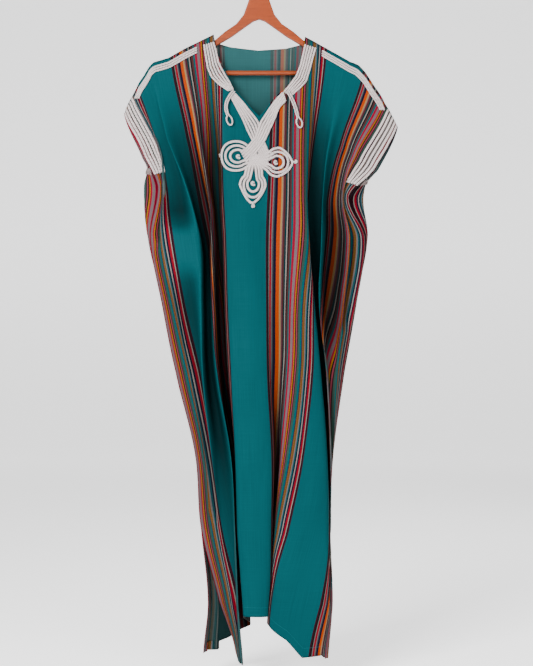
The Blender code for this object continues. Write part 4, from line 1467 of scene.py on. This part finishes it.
def even_shares(points: Sequence[Sequence[float]], count: int) -> list[tuple[float, float]]:
    """Evenly spaced points along a line of (place, height) points."""
    lengths = [0.0]
    for first, second in zip(points, points[1:]):
        lengths.append(lengths[-1] + math.dist(first, second))
    result = []
    for step in range(count + 1):
        target = lengths[-1] * step / count
        index = 0
        while index < len(points) - 2 and target > lengths[index + 1]:
            index += 1
        share = (target - lengths[index]) / max(lengths[index + 1] - lengths[index], TINY)
        start = points[index]
        end = points[index + 1]
        result.append((blend(start[0], end[0], share), blend(start[1], end[1], share)))
    return result


class Lamp(NamedTuple):
    """A soft lamp: its place, what it looks at, its side length and its power."""

    name: str
    place: tuple[float, float, float]
    aim: tuple[float, float, float]
    size: float
    power: float


class BandEdges(NamedTuple):
    """A band of cord: its node, its edges as (place, height) points, its cords' radius and lift."""

    name: str
    near: tuple[tuple[float, float], ...]
    far: tuple[tuple[float, float], ...]
    radius: float
    lift: float


# The braid of the collar and the slit
BANDS = (
    BandEdges(
        "collar_left",
        ((-96, -183), (-90, -201), (-83, -227), (-69, -251), (-57, -271), (-50, -289)),
        ((-122, -190), (-120, -213), (-117, -243), (-108, -262), (-89, -276), (-60, -291)),
        2.5,
        1.5,
    ),
    BandEdges(
        "collar_right",
        ((101, -188), (98, -205), (93, -233), (84, -259), (70, -276), (56, -293)),
        ((129, -197), (124, -215), (117, -245), (110, -272), (98, -286), (76, -304)),
        2.5,
        1.5,
    ),
    BandEdges(
        "slit_braid_left",
        ((-49, -294), (-31, -314), (-11, -339), (2, -357), (8, -392), (24, -420), (40, -428)),
        ((-58, -300), (-48, -320), (-34, -350), (-22, -380), (-10, -404), (4, -432), (18, -458)),
        2.9,
        1.8,
    ),
    BandEdges(
        "slit_braid_right",
        ((56, -293), (38, -312), (15, -339), (4, -355), (-6, -392), (-22, -414), (-36, -424)),
        ((64, -313), (49, -328), (41, -350), (29, -376), (15, -402), (-4, -430), (-22, -450)),
        2.9,
        3.4,
    ),
)
LOOPS = (
    Loop("motif_loop_left", (-43, -434), (0, -440), 32, 1.0, 0.0, (-87, -431)),
    Loop("motif_loop_right", (49, -447), (4, -444), 31, 1.1, 0.8, (90, -447)),
    Loop("motif_loop_low", (-8, -498), (-6, -448), 27, 1.42, 0.9, (-8, -543)),
)
TIES = (
    TieRoute("tie_left", ((-52, -291), (-61, -303), (-68, -318), (-69, -333), (-65, -346)), 13.0),
    TieRoute("tie_right", ((63, -291), (71, -306), (78, -323), (83, -340), (86, -352)), 13.0),
)


CUFFS = (
    Cuff("cuff_braid_left_front", Side.FRONT, CLOTH_LEFT, 1),
    Cuff("cuff_braid_left_back", Side.BACK, CLOTH_LEFT, 1),
    Cuff("cuff_braid_right_front", Side.FRONT, CLOTH_RIGHT, -1),
    Cuff("cuff_braid_right_back", Side.BACK, CLOTH_RIGHT, -1),
)
# Each shoulder braid's node, and where it starts and ends across the cloth
SHOULDERS = (("shoulder_braid_left", -136, -322), ("shoulder_braid_right", 142, 335))
HEM_TURNS = (
    HemTurn("hem_turn_middle", Side.FRONT, -52, 14),
    HemTurn("hem_turn_right", Side.FRONT, 165, 262),
    HemTurn("hem_turn_back_left", Side.BACK, -358, -322),
)
FRONT_CREASES = (
    Crease((-60, -845), (-20, -852), 5.0, 0.9),
    Crease((-40, -1012), (20, -1026), 5.0, 1.3),
    Crease((-70, -1048), (0, -1056), 4.0, -1.1),
    Crease((-30, -1085), (-26, -1160), 5.0, 0.9),
    Crease((0, -1085), (6, -1150), 5.0, -0.8),
    Crease((180, -1000), (230, -1012), 5.0, -1.0),
    Crease((190, -1180), (286, -1222), 4.0, 1.8),
    Crease((230, -1215), (262, -1330), 6.0, 1.2),
    Crease((250, -1225), (284, -1320), 6.0, -1.0),
)
BACK_CREASES = (
    Crease((-40, -880), (50, -870), 6.0, 1.0),
    Crease((-30, -1090), (60, -1104), 5.0, 1.2),
    Crease((0, -1120), (10, -1200), 6.0, -0.9),
    Crease((180, -1010), (250, -1030), 6.0, -1.1),
)
FLOOR_Z = -1.56
STAGE_FRONT = -4.0
STAGE_FLOOR = 9.5
STAGE_BEND = 1.2
STAGE_WALL = 3.0
STAGE_HALF_WIDTH = 5.0
STAGE_ROWS = 60
LAMPS = (
    Lamp("key", (-1.5, -2.5, 0.7), (0.0, 0.0, -0.8), 1.3, 260.0),
    Lamp("fill", (1.9, -2.6, -0.2), (0.0, 0.0, -0.8), 1.6, 70.0),
    Lamp("low", (0.0, -2.8, -1.3), (0.0, 0.0, -1.1), 1.4, 36.0),
    Lamp("behind", (1.6, 1.9, 0.9), (0.0, 0.0, -0.8), 1.4, 60.0),
)
SKY = 0.3
CAMERA_SENSOR = 36.0
CAMERA_DISTANCE = 3.2
VIEW_HEIGHT = 1.432
VIEW_PLANE = -0.04
VIEW_CENTRE = (0.018, -0.815)


def make_stage(finish: bpy.types.Material) -> None:
    """Set up the seamless paper: a floor that turns up into the wall behind."""
    bm = bmesh.new()
    grown = bmesh.ops.create_grid(bm, x_segments=1, y_segments=STAGE_ROWS, size=1.0)
    for vert in grown["verts"]:
        run = (vert.co.y + 1) / 2 * (STAGE_FLOOR + STAGE_BEND * math.pi / 2 + STAGE_WALL)
        side = vert.co.x * STAGE_HALF_WIDTH
        turned = clamp((run - STAGE_FLOOR) / STAGE_BEND, 0.0, math.pi / 2)
        past = max(run - STAGE_FLOOR - STAGE_BEND * math.pi / 2, 0.0)
        deep = min(run, STAGE_FLOOR) + math.sin(turned) * STAGE_BEND
        high = (1 - math.cos(turned)) * STAGE_BEND + past
        vert.co = Vector((side, STAGE_FRONT + deep, FLOOR_Z + high))
    mesh = bpy.data.meshes.new("paper")
    bm.to_mesh(mesh)
    bm.free()
    mesh.shade_smooth()
    mesh.materials.append(finish)
    paper = bpy.data.objects.new("paper", mesh)
    bpy.context.collection.objects.link(paper)


def light(lamps: Sequence[Lamp]) -> None:
    """Set the lamps and an even pale sky."""
    for lamp in lamps:
        data = bpy.data.lights.new(lamp.name, "AREA")
        data.shape = "SQUARE"
        data.size = lamp.size
        data.energy = lamp.power
        thing = bpy.data.objects.new(lamp.name, data)
        thing.location = lamp.place
        aim = Vector(lamp.aim) - Vector(lamp.place)
        thing.rotation_euler = aim.to_track_quat("-Z", "Y").to_euler()
        bpy.context.collection.objects.link(thing)
    world = bpy.data.worlds.new("sky")
    world.use_nodes = True
    sky = world.node_tree.nodes["Background"]
    sky.inputs["Color"].default_value = (1.0, 1.0, 1.0, 1.0)
    sky.inputs["Strength"].default_value = SKY
    bpy.context.scene.world = world


def set_camera() -> None:
    """Set the camera, level and square to the dress."""
    data = bpy.data.cameras.new("camera")
    data.lens = CAMERA_SENSOR * CAMERA_DISTANCE / VIEW_HEIGHT
    data.sensor_width = CAMERA_SENSOR
    camera = bpy.data.objects.new("camera", data)
    camera.location = (VIEW_CENTRE[0], VIEW_PLANE - CAMERA_DISTANCE, VIEW_CENTRE[1])
    camera.rotation_euler = (math.pi / 2, 0.0, 0.0)
    bpy.context.collection.objects.link(camera)
    bpy.context.scene.camera = camera


def main() -> None:
    """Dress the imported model."""
    logging.basicConfig(level=logging.INFO, format="%(name)s: %(message)s")
    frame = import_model()
    set_camera()
    light(LAMPS)
    make_stage(PalePaper("pale_paper").make())

    front = Form(Side.FRONT, FRONT_CRESTS, FRONT_SECTIONS, FRONT_NECK, FRONT_HEM, FRONT_CREASES)
    back = Form(Side.BACK, BACK_CRESTS, BACK_SECTIONS, BACK_NECK, BACK_HEM, BACK_CREASES)
    right_side = StripedCloth("striped_cloth", hem_stitches=True).make()
    wrong_side = StripedCloth("striped_cloth_inside", faded=0.5).make()
    cord = TwistedCord("white_cord", paint(208, 197, 195)).make()
    trimming = Trimming(front, back, cord)
    for tie in TIES:
        trimming.tie(tie)
    finishes = [right_side, wrong_side]
    front_cloth = Panel("dress_front", front, "front_panel", step=3.6, rows=150).make(finishes)
    back_cloth = Panel("dress_back", back, "back_panel", step=5.5, rows=110).make(finishes)
    for turn in HEM_TURNS:
        turn.make(front if turn.side is Side.FRONT else back, right_side)
    for band in BANDS:
        trimming.band(band)
    for cuff in CUFFS:
        trimming.cuff(cuff)
    for shoulder in SHOULDERS:
        trimming.shoulder(*shoulder)
    for loop in LOOPS:
        trimming.loop(loop)
        trimming.bead(loop)

    wood = VarnishedWood("varnished_wood").make()
    wire = BrightWire("steel_wire").make()
    for node, finish in (("hanger_body", wood), ("hanger_bar", wood), ("hanger_hook", wire)):
        frame["nodes"][node].data.materials.clear()
        frame["nodes"][node].data.materials.append(finish)
        log.info("%s is finished", node)


if __name__ == "__main__":
    main()
